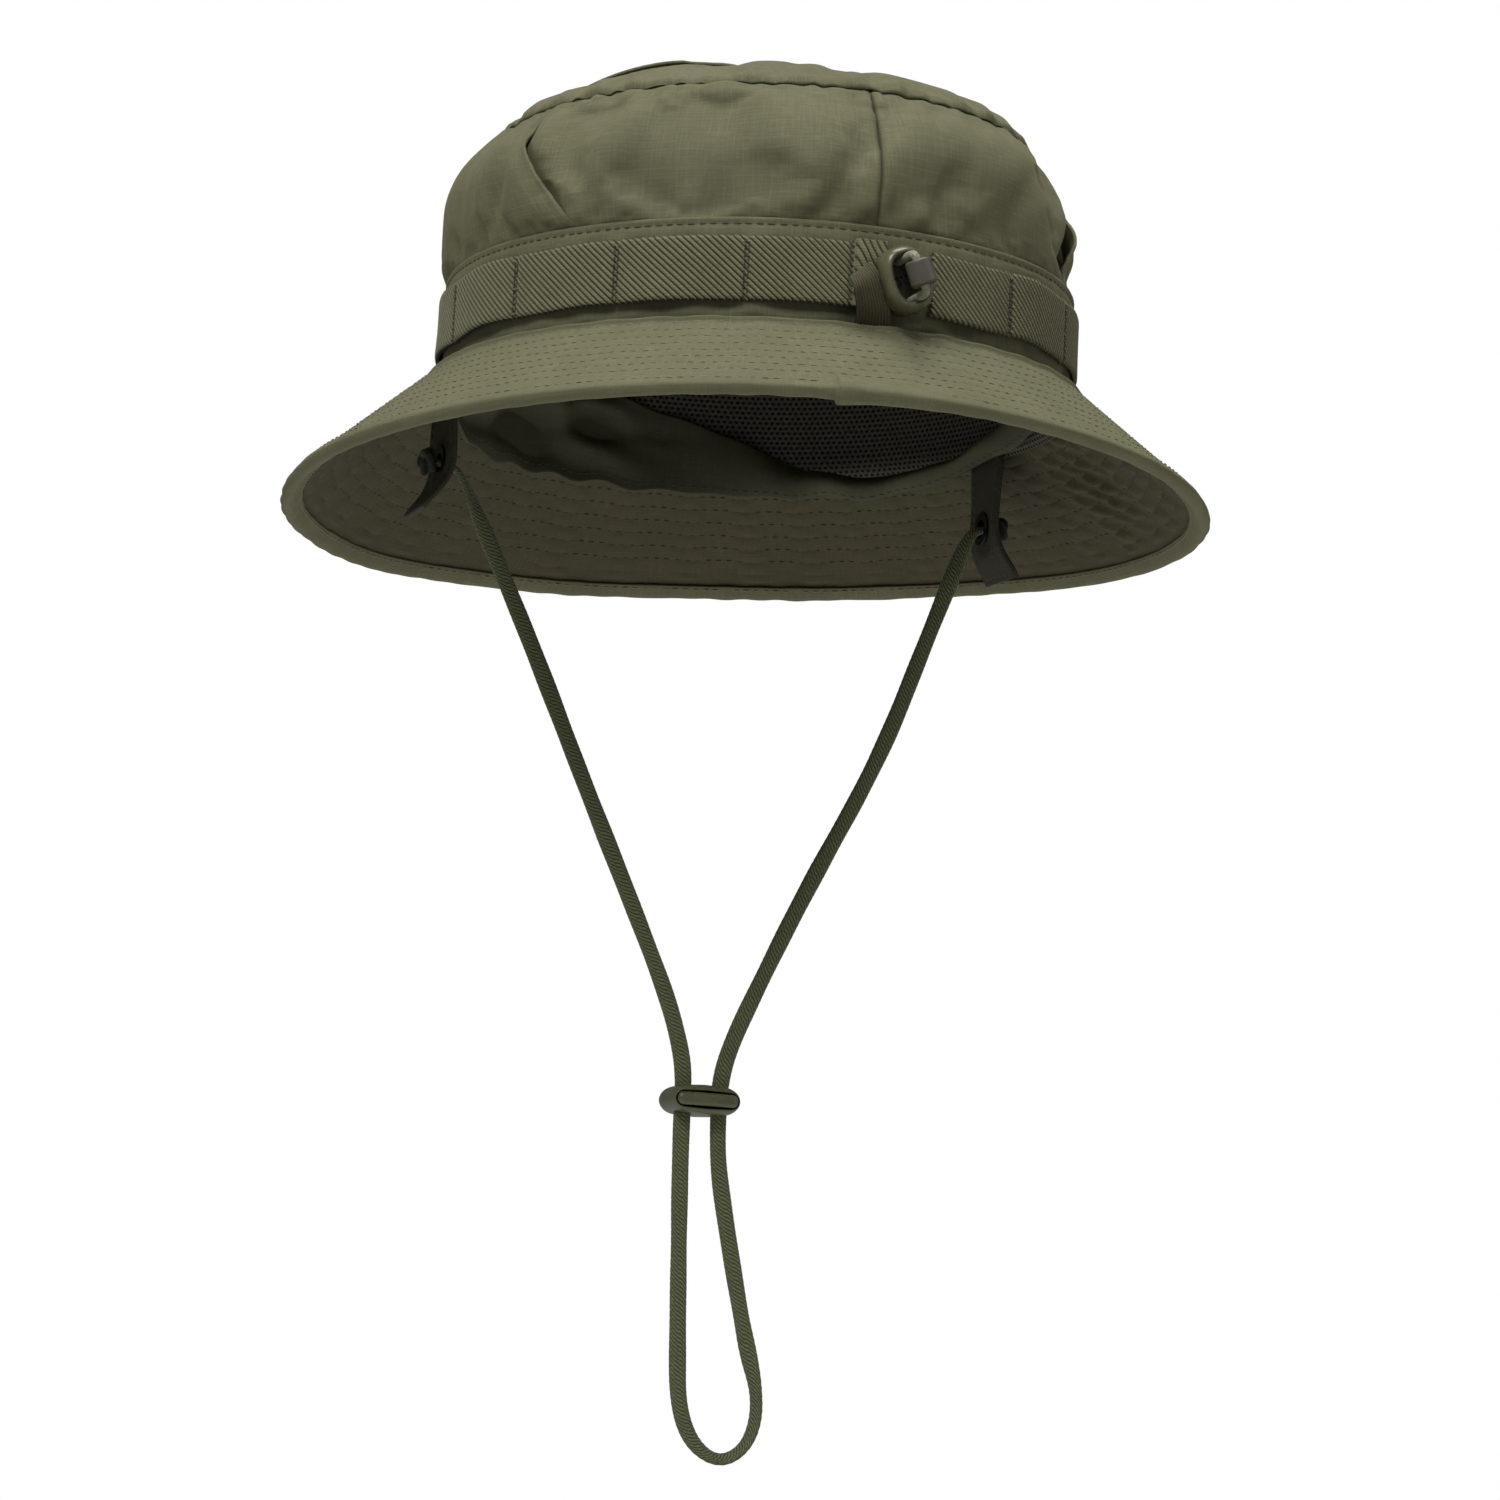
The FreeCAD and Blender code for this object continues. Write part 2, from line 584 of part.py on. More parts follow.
def make_lock(word, placement):
    """Body, plunger and spring. Local X is the long axis, Y the press axis, Z the cord axis."""
    back = f"-{cell('lock_centre_offset')}"
    body = prism(f"{word}_body", cell("lock_half_length"), cell("lock_half_depth"), back,
                 cell("lock_height"))
    doc.recompute()
    rounded = add("Part::Fillet", f"{word}_rounded")
    rounded.Base = body
    radius = size("lock_fillet")
    rims = [number for number, edge in enumerate(body.Shape.Edges, start=1) if edge.isClosed()
            and len(edge.Vertexes) == 1 and abs(edge.BoundBox.ZLength) < 1e-6]
    rounded.Edges = [(number, radius, radius) for number in rims]
    cavity = fuse(f"{word}_cavity", [
        prism(f"{word}_cavity_back", cell("lock_cavity_half_length"), cell("lock_cavity_half_depth"),
              back, cell("lock_cavity_height")),
        block(f"{word}_cavity_front", cell("lock_cavity_half_length"), back, "12",
              cell("lock_cavity_height"))])
    holes = fuse(f"{word}_holes", [
        bore(f"{word}_hole_{step}", f"{sign} * {cell('lock_hole_offset')}", "0",
             cell("lock_hole_radius"), "20") for step, sign in enumerate((1, -1))])
    hollow = fuse(f"{word}_hollow", [cavity, holes])
    body_piece = cut(f"{word}_lock_body", rounded, hollow)
    body_piece.Placement = placement
    label(body_piece, f"{word}_lock_body")

    # plunger: a plate that fills the cavity, with a window for each cord and a spring pocket
    forward = f"{cell('plunger_travel')} - {cell('lock_centre_offset')}"
    plate = prism(f"{word}_plate", cell("plunger_half_length"), cell("plunger_half_depth"), forward,
                  cell("plunger_height"))
    tools = []
    window = cell("plunger_window")
    for step, sign in enumerate((1, -1)):
        x = f"{sign} * {cell('lock_hole_offset')}"
        tools.append(bore(f"{word}_window_{step}_back", x, "0", window, "10"))
        tools.append(bore(f"{word}_window_{step}_front", x, cell("plunger_travel"), window, "10"))
        slot = add("Part::Box", f"{word}_window_{step}_middle")
        bind(slot, Length=f"2 * {window}", Width=cell("plunger_travel"),
             Placement__Base__x=f"{x} - {window}")
        slot.Height = 10
        slot.Placement.Base.z = -5
        tools.append(slot)
    pocket = add("Part::Cylinder", f"{word}_pocket")
    bind(pocket, Radius=cell("spring_pocket"),
         Height=f"{cell('spring_pocket_end')} + {cell('lock_half_depth')}",
         Placement__Base__y=f"-{cell('lock_half_depth')}")
    pocket.Placement = Placement(pocket.Placement.Base, Rotation(AXIS_X, -90))
    tools.append(pocket)
    plunger = cut(f"{word}_plunger", plate, fuse(f"{word}_plunger_tools", tools))
    plunger.Placement = placement
    label(plunger, f"{word}_lock_plunger")

    # spring: between the cavity's back wall and the bottom of the plunger's pocket
    wall = -size("lock_centre_offset") - size("lock_cavity_half_depth")
    length = size("spring_pocket_end") - wall - 4 * size("spring_wire")
    helix = add("Part::Helix", f"{word}_spring_line")
    helix.Radius = size("spring_radius")
    helix.Pitch = length / 7
    helix.Height = length
    profile = add("Part::Circle", f"{word}_spring_wire")
    profile.Placement = Placement(Vector(size("spring_radius"), 0, 0), Rotation(AXIS_X, 90))
    bind(profile, Radius=cell("spring_wire"))
    spring = add("Part::Sweep", f"{word}_spring")
    spring.Sections = [profile]
    spring.Spine = (helix, ["Edge1"])
    spring.Solid = True
    spring.Frenet = True
    doc.recompute()
    stand = Placement(Vector(0, wall + 2 * size("spring_wire"), 0), Rotation(AXIS_X, -90))
    spring.Placement = placement.multiply(stand)
    label(spring, f"{word}_lock_spring")


def make_chin_lock():
    make_lock("chin", Placement(Vector(size("chin_lock_x"), CORD_Y, LOCK_Z), Rotation()))


# ---------------------------------------------------------------- back: shock cord and its lock
def rear_placement():
    """Long axis leaning over the band, press axis to the wearer's right, cords along Y."""
    tilt = math.radians(size("rear_lock_tilt"))
    long_axis = Vector(math.sin(tilt), 0, math.cos(tilt))
    press_axis = Vector(-math.cos(tilt), 0, math.sin(tilt))
    turn = Rotation(long_axis, press_axis, long_axis.cross(press_axis), "XYZ")
    place = Vector(size("rear_lock_x"), size("rear_lock_y"), size("rear_lock_z"))
    return Placement(place, turn), long_axis


def make_rear():
    placement, long_axis = rear_placement()
    make_lock("rear", placement)

    # clamp: a barrel that joins the shock cord's two ends outside the lock
    centre = placement.Base + AXIS_Y * size("clamp_reach")
    barrel = add("Part::Cylinder", "clamp_barrel")
    bind(barrel, Radius=cell("clamp_radius"), Height=f"2 * {cell('clamp_half_length')}")
    doc.recompute()
    barrel_round = add("Part::Fillet", "clamp_round")
    barrel_round.Base = barrel
    rims = [number for number, edge in enumerate(barrel.Shape.Edges, start=1)
            if len(edge.Vertexes) == 1]
    fillet = size("clamp_fillet")
    barrel_round.Edges = [(number, fillet, fillet) for number in rims]
    hole = add("Part::Cylinder", "clamp_hole")
    bind(hole, Radius=cell("clamp_bore"))
    hole.Height = 20
    hole.Placement.Base.z = -5
    clamp = cut("clamp", barrel_round, hole)
    turn = Rotation(AXIS_Z, long_axis)
    clamp.Placement = Placement(centre - long_axis * size("clamp_half_length"), turn)
    label(clamp, "drawcord_clamp")

    # the two strands that come out of the band, through the lock and into the clamp's ends
    strands = []
    for side in (1, -1):
        reach = size("lock_hole_offset")
        bend = size("shock_bend")
        base = placement.Base + long_axis * (side * reach)
        start = Vector(base.x, size("shock_start"), base.z)
        top = Vector(base.x, centre.y - bend, base.z)
        corner = Vector(base.x, centre.y, base.z)
        inwards = long_axis * (-side)
        middle_of_arc = top + AXIS_Y * (bend * math.sin(math.pi / 4)) \
            + inwards * (bend * (1 - math.cos(math.pi / 4)))
        finish = corner + inwards * bend
        path = Part.Wire([Part.LineSegment(start, top).toShape(),
                          Part.Arc(top, middle_of_arc, finish).toShape()])
        ring = Part.Wire(Part.Circle(start, AXIS_Y, size("shock_cord") / 2).toShape())
        strands.append(path.makePipeShell([ring], True, True))
    pull = add("Part::Feature", "drawcord_pull")
    pull.Shape = Part.makeCompound(strands)
    label(pull, "drawcord_loop")

    # the rest of the shock cord, pressed flat in the channel between crown and base band
    flat_cord = straight_shell("channel", cell("channel_half_width"), cell("channel_cord_thick"),
                               cell("channel_low"), cell("channel_high"))
    way_out = add("Part::Box", "channel_way_out")
    bind(way_out, Placement__Base__x=f"{cell('rear_lock_x')} - 4",
         Placement__Base__y=cell("head_half_width"))
    way_out.Length, way_out.Width, way_out.Height = 8, 40, 40
    label(cut("channel_cord_open", flat_cord, way_out), "drawcord_ring")

    # tab: a ribbed tape from the base seam that holds the lock
    tab = add("Part::Box", "lock_tab_strip")
    bind(tab, Length=cell("lock_tab_width"), Width=cell("lock_tab_thick"),
         Height=cell("lock_tab_height"),
         Placement__Base__x=f"{cell('lock_tab_x')} - {cell('lock_tab_width')} / 2",
         Placement__Base__y=cell("lock_tab_y"), Placement__Base__z=cell("lock_tab_low"))
    label(tab, "lock_tab")


# ---------------------------------------------------------------- build, check and write
NODES = [
    "crown_tip", "crown_front_panel", "crown_back_panel_left", "crown_back_panel_right",
    "vent_flap_left", "vent_flap_right", "crown_lining", "tip_lining", "tip_pocket", "sweatband",
    "crown_base_band", "elastic_band", "band_bartacks", "brim_top", "brim_interlining",
    "brim_underside", "brim_binding", "chin_tab_left", "chin_tab_right", "chin_eyelet_left",
    "chin_eyelet_right", "cord_knot_left", "cord_knot_right", "chin_cord_left", "chin_cord_right",
    "chin_cord_loop", "chin_lock_body", "chin_lock_plunger", "chin_lock_spring", "rear_lock_body",
    "rear_lock_plunger", "rear_lock_spring", "drawcord_clamp", "drawcord_loop", "drawcord_ring",
    "lock_tab",
]

make_crown()
make_bands()
make_brim()
make_side(1, "left")
make_side(-1, "right")
make_cords()
make_chin_lock()
make_rear()
doc.recompute()

for item in doc.Objects:
    if "Invalid" in item.State or "Error" in item.State:
        raise RuntimeError(f"{item.Label} failed: {item.State}")
os.makedirs("parts", exist_ok=True)
for node in NODES:
    piece = doc.getObjectsByLabel(node)[0]
    shape = piece.Shape
    if shape.isNull() or not shape.isValid() or not shape.Solids:
        raise RuntimeError(f"{node} has no valid solid")
    print(f"{node}: {shape.Volume:.0f} mm3, {len(shape.Solids)} solids")
    shape.exportStep(f"parts/{node}.step")
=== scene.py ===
import json
import math

import bpy
import numpy as np
from mathutils import Matrix, Vector

# The looks of a boonie hat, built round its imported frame. Lengths in this script are millimetres
# in the frame's own axes, and become metres when a mesh is made; the cords' routes and the camera
# are in metres. +Z is up, the front of the hat is -Y and the wearer's left is +X.
# An angle goes round the hat in degrees, from 0 at the wearer's left through 90 at the back.
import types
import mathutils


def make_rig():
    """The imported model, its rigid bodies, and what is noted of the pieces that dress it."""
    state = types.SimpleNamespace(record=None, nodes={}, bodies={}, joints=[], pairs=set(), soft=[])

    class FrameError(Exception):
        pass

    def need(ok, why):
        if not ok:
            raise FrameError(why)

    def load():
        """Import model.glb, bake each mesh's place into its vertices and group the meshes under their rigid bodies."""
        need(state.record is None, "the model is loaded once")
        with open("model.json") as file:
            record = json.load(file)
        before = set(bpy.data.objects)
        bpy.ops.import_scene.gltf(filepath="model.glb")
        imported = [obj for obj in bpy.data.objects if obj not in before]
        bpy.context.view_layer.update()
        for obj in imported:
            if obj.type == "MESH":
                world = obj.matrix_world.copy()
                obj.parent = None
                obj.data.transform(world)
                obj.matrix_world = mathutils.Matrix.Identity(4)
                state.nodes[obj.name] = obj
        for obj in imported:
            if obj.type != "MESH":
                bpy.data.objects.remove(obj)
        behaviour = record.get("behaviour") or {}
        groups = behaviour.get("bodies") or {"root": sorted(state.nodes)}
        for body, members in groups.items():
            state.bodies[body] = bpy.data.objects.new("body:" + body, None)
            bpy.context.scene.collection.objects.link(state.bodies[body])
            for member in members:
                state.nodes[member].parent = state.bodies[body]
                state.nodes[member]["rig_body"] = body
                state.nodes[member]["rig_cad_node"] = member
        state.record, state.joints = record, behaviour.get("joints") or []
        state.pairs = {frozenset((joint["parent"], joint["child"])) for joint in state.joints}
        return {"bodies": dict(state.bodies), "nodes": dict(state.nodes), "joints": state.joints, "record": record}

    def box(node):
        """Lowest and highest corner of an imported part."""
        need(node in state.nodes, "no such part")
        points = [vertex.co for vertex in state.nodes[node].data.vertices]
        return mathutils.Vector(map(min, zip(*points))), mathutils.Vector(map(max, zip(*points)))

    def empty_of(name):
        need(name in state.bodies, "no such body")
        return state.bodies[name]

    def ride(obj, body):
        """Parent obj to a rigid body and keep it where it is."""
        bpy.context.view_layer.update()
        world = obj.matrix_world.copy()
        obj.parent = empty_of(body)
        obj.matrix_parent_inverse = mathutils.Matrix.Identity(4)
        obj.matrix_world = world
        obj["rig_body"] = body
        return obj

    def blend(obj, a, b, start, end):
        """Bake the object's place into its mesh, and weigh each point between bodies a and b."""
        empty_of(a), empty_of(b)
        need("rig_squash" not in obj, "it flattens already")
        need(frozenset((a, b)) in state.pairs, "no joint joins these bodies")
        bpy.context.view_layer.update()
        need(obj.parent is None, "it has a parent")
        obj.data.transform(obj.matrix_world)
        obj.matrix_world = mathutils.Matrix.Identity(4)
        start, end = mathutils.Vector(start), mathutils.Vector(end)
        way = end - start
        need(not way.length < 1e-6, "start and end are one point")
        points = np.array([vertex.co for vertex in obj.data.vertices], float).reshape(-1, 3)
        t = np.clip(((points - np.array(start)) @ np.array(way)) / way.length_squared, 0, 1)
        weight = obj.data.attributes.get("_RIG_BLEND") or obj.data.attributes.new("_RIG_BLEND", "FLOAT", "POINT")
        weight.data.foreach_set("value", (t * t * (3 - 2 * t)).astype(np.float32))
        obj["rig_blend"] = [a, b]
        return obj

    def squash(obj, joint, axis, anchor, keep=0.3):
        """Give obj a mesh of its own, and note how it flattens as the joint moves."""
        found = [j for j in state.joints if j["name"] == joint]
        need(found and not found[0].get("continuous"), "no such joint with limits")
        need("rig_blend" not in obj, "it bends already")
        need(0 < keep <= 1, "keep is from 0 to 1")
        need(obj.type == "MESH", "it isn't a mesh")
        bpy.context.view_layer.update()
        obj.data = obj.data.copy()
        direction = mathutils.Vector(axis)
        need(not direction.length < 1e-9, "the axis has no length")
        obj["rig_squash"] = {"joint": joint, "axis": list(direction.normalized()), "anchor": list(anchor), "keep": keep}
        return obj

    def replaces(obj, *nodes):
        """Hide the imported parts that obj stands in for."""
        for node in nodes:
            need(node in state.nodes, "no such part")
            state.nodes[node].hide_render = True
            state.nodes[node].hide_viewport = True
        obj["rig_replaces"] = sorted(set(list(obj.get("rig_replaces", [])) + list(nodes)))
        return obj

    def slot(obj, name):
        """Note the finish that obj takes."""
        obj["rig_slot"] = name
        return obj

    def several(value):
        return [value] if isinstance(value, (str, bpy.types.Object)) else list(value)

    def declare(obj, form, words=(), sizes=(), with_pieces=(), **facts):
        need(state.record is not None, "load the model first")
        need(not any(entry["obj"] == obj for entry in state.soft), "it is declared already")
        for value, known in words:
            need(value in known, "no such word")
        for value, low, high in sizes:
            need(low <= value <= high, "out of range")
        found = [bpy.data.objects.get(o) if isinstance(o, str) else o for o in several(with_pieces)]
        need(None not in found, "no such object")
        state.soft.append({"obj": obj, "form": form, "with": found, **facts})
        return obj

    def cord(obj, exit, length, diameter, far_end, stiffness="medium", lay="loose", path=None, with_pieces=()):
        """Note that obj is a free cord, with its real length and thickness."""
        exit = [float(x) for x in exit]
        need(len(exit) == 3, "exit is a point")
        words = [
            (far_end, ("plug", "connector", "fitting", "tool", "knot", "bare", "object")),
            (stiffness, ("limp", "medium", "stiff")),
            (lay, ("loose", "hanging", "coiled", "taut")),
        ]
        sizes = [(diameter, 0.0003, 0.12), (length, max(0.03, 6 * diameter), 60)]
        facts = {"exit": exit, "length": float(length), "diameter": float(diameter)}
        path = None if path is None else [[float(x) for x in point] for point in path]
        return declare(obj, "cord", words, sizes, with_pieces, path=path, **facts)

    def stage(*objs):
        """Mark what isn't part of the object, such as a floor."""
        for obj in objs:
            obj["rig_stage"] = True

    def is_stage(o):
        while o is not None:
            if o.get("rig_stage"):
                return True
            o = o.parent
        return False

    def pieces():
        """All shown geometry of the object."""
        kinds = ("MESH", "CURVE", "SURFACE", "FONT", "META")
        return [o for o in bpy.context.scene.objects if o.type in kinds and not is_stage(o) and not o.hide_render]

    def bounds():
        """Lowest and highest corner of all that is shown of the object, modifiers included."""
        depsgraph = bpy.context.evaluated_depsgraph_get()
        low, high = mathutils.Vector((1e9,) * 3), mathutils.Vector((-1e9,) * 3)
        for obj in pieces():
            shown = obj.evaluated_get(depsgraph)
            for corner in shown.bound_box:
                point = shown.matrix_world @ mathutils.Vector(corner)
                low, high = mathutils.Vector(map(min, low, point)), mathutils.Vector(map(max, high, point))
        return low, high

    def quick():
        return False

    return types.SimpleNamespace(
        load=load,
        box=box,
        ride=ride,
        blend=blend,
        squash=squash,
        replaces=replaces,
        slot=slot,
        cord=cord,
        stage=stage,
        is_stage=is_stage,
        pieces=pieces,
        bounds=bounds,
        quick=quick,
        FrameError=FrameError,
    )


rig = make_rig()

MM = 0.001
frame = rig.load()
cad_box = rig.bounds()


def low(node):
    return np.array(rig.box(node)[0]) / MM


def high(node):
    return np.array(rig.box(node)[1]) / MM


def centre_of(node):
    return (low(node) + high(node)) / 2


# ---------------------------------------------------------------- sizes, from the frame
BAND_HALF = high("crown_base_band")[0]
BAND_LOW, BAND_HIGH = low("crown_base_band")[2], high("crown_base_band")[2]
LENGTH_EXTRA = high("crown_base_band")[1] - BAND_HALF
ELASTIC_HALF = high("elastic_band")[0]
ELASTIC_LOW, ELASTIC_HIGH = low("elastic_band")[2], high("elastic_band")[2]
ELASTIC_TALL = ELASTIC_HIGH - ELASTIC_LOW
BRIM_TOP_HALF = 91.3
BRIM_EDGE_HALF = high("brim_top")[0]
BRIM_DROP = -low("brim_top")[2]
BRIM_EDGE_LENGTH = (high("brim_top")[1] - low("brim_top")[1]) / 2
BRIM_SHIFT = (high("brim_top")[1] + low("brim_top")[1]) / 2
BRIM_SLANT = math.hypot(BRIM_DROP, BRIM_EDGE_HALF - BRIM_TOP_HALF)
BRIM_DEPTH = 3.6
SWEAT_HALF = high("sweatband")[0] - 0.5

# the crown's side: level and half width of each oval from under the base band up to the tip
TIP_RIM, RIM_LEVEL, TIP_RISE = high("crown_tip")[0] + 1.2, low("crown_tip")[2] - 5.2, 19.6
WALL = [(24.0, 87.9), (30.0, 88.6), (36.0, 89.3), (43.0, 89.8), (50.0, 89.5), (57.0, 87.0),
        (64.0, 82.0), (RIM_LEVEL, TIP_RIM)]
WALL_FOOT = WALL[0][0]


# ---------------------------------------------------------------- curves and surfaces
def waves(angle, lowest, highest, seed, count=7):
    """A smooth random curve round the hat, mostly within -1 to 1."""
    rng = np.random.default_rng(seed)
    orders = rng.integers(lowest, highest + 1, count)
    phases = rng.uniform(0, 2 * np.pi, count)
    turn = np.radians(angle)
    return sum(np.cos(turn * order + phase) for order, phase in zip(orders, phases)) / count ** 0.5


def bell(x, width):
    return np.exp(-(x / width) ** 2)


def smooth(x, start, end):
    share = np.clip((x - start) / (end - start), 0, 1)
    return share * share * (3 - 2 * share)


def between(x, start, full, fall, end):
    """Rises smoothly from 0 to 1, and falls back to 0."""
    return smooth(x, start, full) * (1 - smooth(x, fall, end))


def apart(angle, centre):
    """Degrees from centre to angle, within -180 to 180."""
    return (angle - centre + 180) % 360 - 180


def arc(degrees, radius):
    return degrees * np.pi / 180 * radius


def unit(vectors):
    return vectors / (np.linalg.norm(vectors, axis=-1, keepdims=True) + 1e-12)


def stack(x, y, z):
    return np.stack(np.broadcast_arrays(x, y, z), -1)


def oval(angle, half, level):
    """Points of an oval round the hat: half is its half width."""
    turn = np.radians(angle)
    return stack(half * np.cos(turn), (half + LENGTH_EXTRA) * np.sin(turn), level)


def oval_out(angle, half):
    """The level outward direction of that oval."""
    turn = np.radians(angle)
    return unit(stack(np.cos(turn) / half, np.sin(turn) / (half + LENGTH_EXTRA), 0.0))


def spline(points, count):
    """Points along a smooth curve through these, evenly spread over its spans."""
    points = np.array(points, float)
    padded = np.vstack([2 * points[0] - points[1], points, 2 * points[-1] - points[-2]])
    place = np.linspace(0, len(points) - 1, count)
    first = np.minimum(place.astype(int), len(points) - 2)
    t = (place - first)[:, None]
    a, b, c, d = (padded[first + step] for step in range(4))
    return 0.5 * (2 * b + (c - a) * t + (2 * a - 5 * b + 4 * c - d) * t ** 2
                  + (3 * b - a - 3 * c + d) * t ** 3)


def lengths(points):
    """The length reached at each point of a line."""
    return np.concatenate([[0], np.cumsum(np.linalg.norm(np.diff(points, axis=0), axis=1))])


def even(points, step):
    """The same line with points an even step apart, and the length reached at each."""
    run = lengths(points)
    reach = np.linspace(0, run[-1], max(2, int(round(run[-1] / step)) + 1))
    return np.stack([np.interp(reach, run, points[:, axis]) for axis in range(3)], -1), reach


class Surface:
    """A grid of points, closed round the hat, that can be read anywhere between its points."""

    def __init__(self, grid):
        self.grid = grid

    def at(self, angle, share):
        """angle in degrees; share runs from 0 at the first row to 1 at the last."""
        rows, columns = self.grid.shape[:2]
        angle, share = np.broadcast_arrays(np.asarray(angle, float), np.asarray(share, float))
        column = (angle % 360) / 360 * columns
        row = np.clip(share, 0, 1) * (rows - 1)
        column0 = np.floor(column).astype(int)
        row0 = np.minimum(row.astype(int), rows - 2)
        across = self._weights(column - column0)
        along = self._weights(row - row0)
        total = 0
        for i in range(4):
            for j in range(4):
                picked = self.grid[np.clip(row0 + i - 1, 0, rows - 1), (column0 + j - 1) % columns]
                total = total + picked * (along[i] * across[j])[..., None]
        return total

    @staticmethod
    def _weights(t):
        return (-0.5 * t + t ** 2 - 0.5 * t ** 3, 1 - 2.5 * t ** 2 + 1.5 * t ** 3,
                0.5 * t + 2 * t ** 2 - 1.5 * t ** 3, -0.5 * t ** 2 + 0.5 * t ** 3)

    def out(self, angle, share):
        """The outward direction."""
        round_ = self.at(angle + 0.4, share) - self.at(angle - 0.4, share)
        up = self.at(angle, np.minimum(share + 0.01, 1)) - self.at(angle, np.maximum(share - 0.01, 0))
        return unit(np.cross(round_, up))


# ---------------------------------------------------------------- meshes
def quad_mesh(name, points, quads, uv=None):
    """A smooth-shaded mesh of four-sided faces; uv has one row for each corner of each face."""
    mesh = bpy.data.meshes.new(name)
    mesh.vertices.add(len(points))
    mesh.vertices.foreach_set("co", (points * MM).astype(np.float32).ravel())
    mesh.loops.add(quads.size)
    mesh.loops.foreach_set("vertex_index", quads.astype(np.int32).ravel())
    mesh.polygons.add(len(quads))
    mesh.polygons.foreach_set("loop_start", np.arange(0, quads.size, 4, dtype=np.int32))
    mesh.polygons.foreach_set("use_smooth", np.ones(len(quads), bool))
    if uv is not None:
        mesh.uv_layers.new(name="weave").data.foreach_set("uv", uv.astype(np.float32).ravel())
    mesh.update(calc_edges=True)
    mesh.validate()
    return place_object(name, mesh)


def place_object(name, data):
    made = bpy.data.objects.new(name, data)
    bpy.context.scene.collection.objects.link(made)
    return made


def grid_mesh(name, grid, closed=False, uv=None, keep=None, closed_rows=False):
    """A mesh over a grid of rows and columns. closed joins the last column to the first. The weave's
    coordinates are lengths along the grid unless uv gives them; keep is a mask of faces."""
    rows, columns = grid.shape[:2]
    across = columns if closed else columns - 1
    down = rows if closed_rows else rows - 1
    r, c = np.meshgrid(np.arange(down), np.arange(across), indexing="ij")
    r1, c1 = (r + 1) % rows, (c + 1) % columns
    quads = np.stack([r * columns + c, r * columns + c1, r1 * columns + c1, r1 * columns + c], -1)
    if uv is None:
        looped = np.concatenate([grid, grid[:, :1]], 1) if closed else grid
        looped = np.concatenate([looped, looped[:1]], 0) if closed_rows else looped
        wide = np.linalg.norm(np.diff(looped, axis=1), axis=2).mean(0)
        tall = np.linalg.norm(np.diff(looped, axis=0), axis=2).mean(1)
        uv = np.stack(np.meshgrid(np.append(0, np.cumsum(wide)), np.append(0, np.cumsum(tall))), -1)
    corners = np.stack([uv[r, c], uv[r, c + 1], uv[r + 1, c + 1], uv[r + 1, c]], 2) * MM
    if keep is not None:
        quads, corners = quads[keep], corners[keep]
    return quad_mesh(name, grid.reshape(-1, 3), quads.reshape(-1, 4), corners.reshape(-1, 2))


def disc_mesh(name, surface_at, steps):
    """A round patch of square cells: surface_at takes an angle and a share of the radius."""
    a, b = np.meshgrid(np.linspace(-1, 1, steps), np.linspace(-1, 1, steps), indexing="ij")
    x = a * np.sqrt(1 - b * b / 2)
    y = b * np.sqrt(1 - a * a / 2)
    grid = surface_at(np.degrees(np.arctan2(y, x)), np.clip(np.hypot(x, y), 0, 1))
    return grid_mesh(name, grid, uv=grid[..., :2])


def thicken(piece, thick, offset=-1.0):
    """Give cloth its thickness; the made surface is the outer face unless offset says otherwise."""
    solid = piece.modifiers.new("thickness", "SOLIDIFY")
    solid.thickness = thick * MM
    solid.offset = offset
    solid.use_quality_normals = True
    return piece


def tube_grid(line, width, height, side, segments=24, power=2.0):
    """Rings of an oval section along a line; side is the direction of its width."""
    ahead = unit(np.gradient(line, axis=0))
    side = unit(side - (side * ahead).sum(1, keepdims=True) * ahead)
    up = np.cross(ahead, side)
    turn = np.linspace(0, 2 * np.pi, segments, endpoint=False)
    x, y = (np.sign(wave) * np.abs(wave) ** (2 / power) for wave in (np.cos(turn), np.sin(turn)))
    width, height = np.reshape(width, (-1, 1, 1)), np.reshape(height, (-1, 1, 1))
    return (line[:, None] + side[:, None] * (x[None, :, None] * width / 2)
            + up[:, None] * (y[None, :, None] * height / 2))


def swell(grid, line, relief):
    """A tube's rings, pushed away from its line."""
    return grid + unit(grid - line[:, None]) * relief[..., None]


def capped(rings):
    """The rings with a point inside each end, so that the first and the last are closed."""
    first, last = (np.repeat(ring.mean(0)[None], len(ring), 0) for ring in (rings[0], rings[-1]))
    return np.array([first, *rings, last])


BEAD_PLACE = np.array([-1, -0.82, -0.4, 0, 0.4, 0.82, 1])
BEAD_THICK = np.array([0.25, 0.8, 1, 1, 1, 0.8, 0.25])
BEAD_DIP = np.array([-0.3, -0.1, 0.02, 0.06, 0.02, -0.1, -0.3])


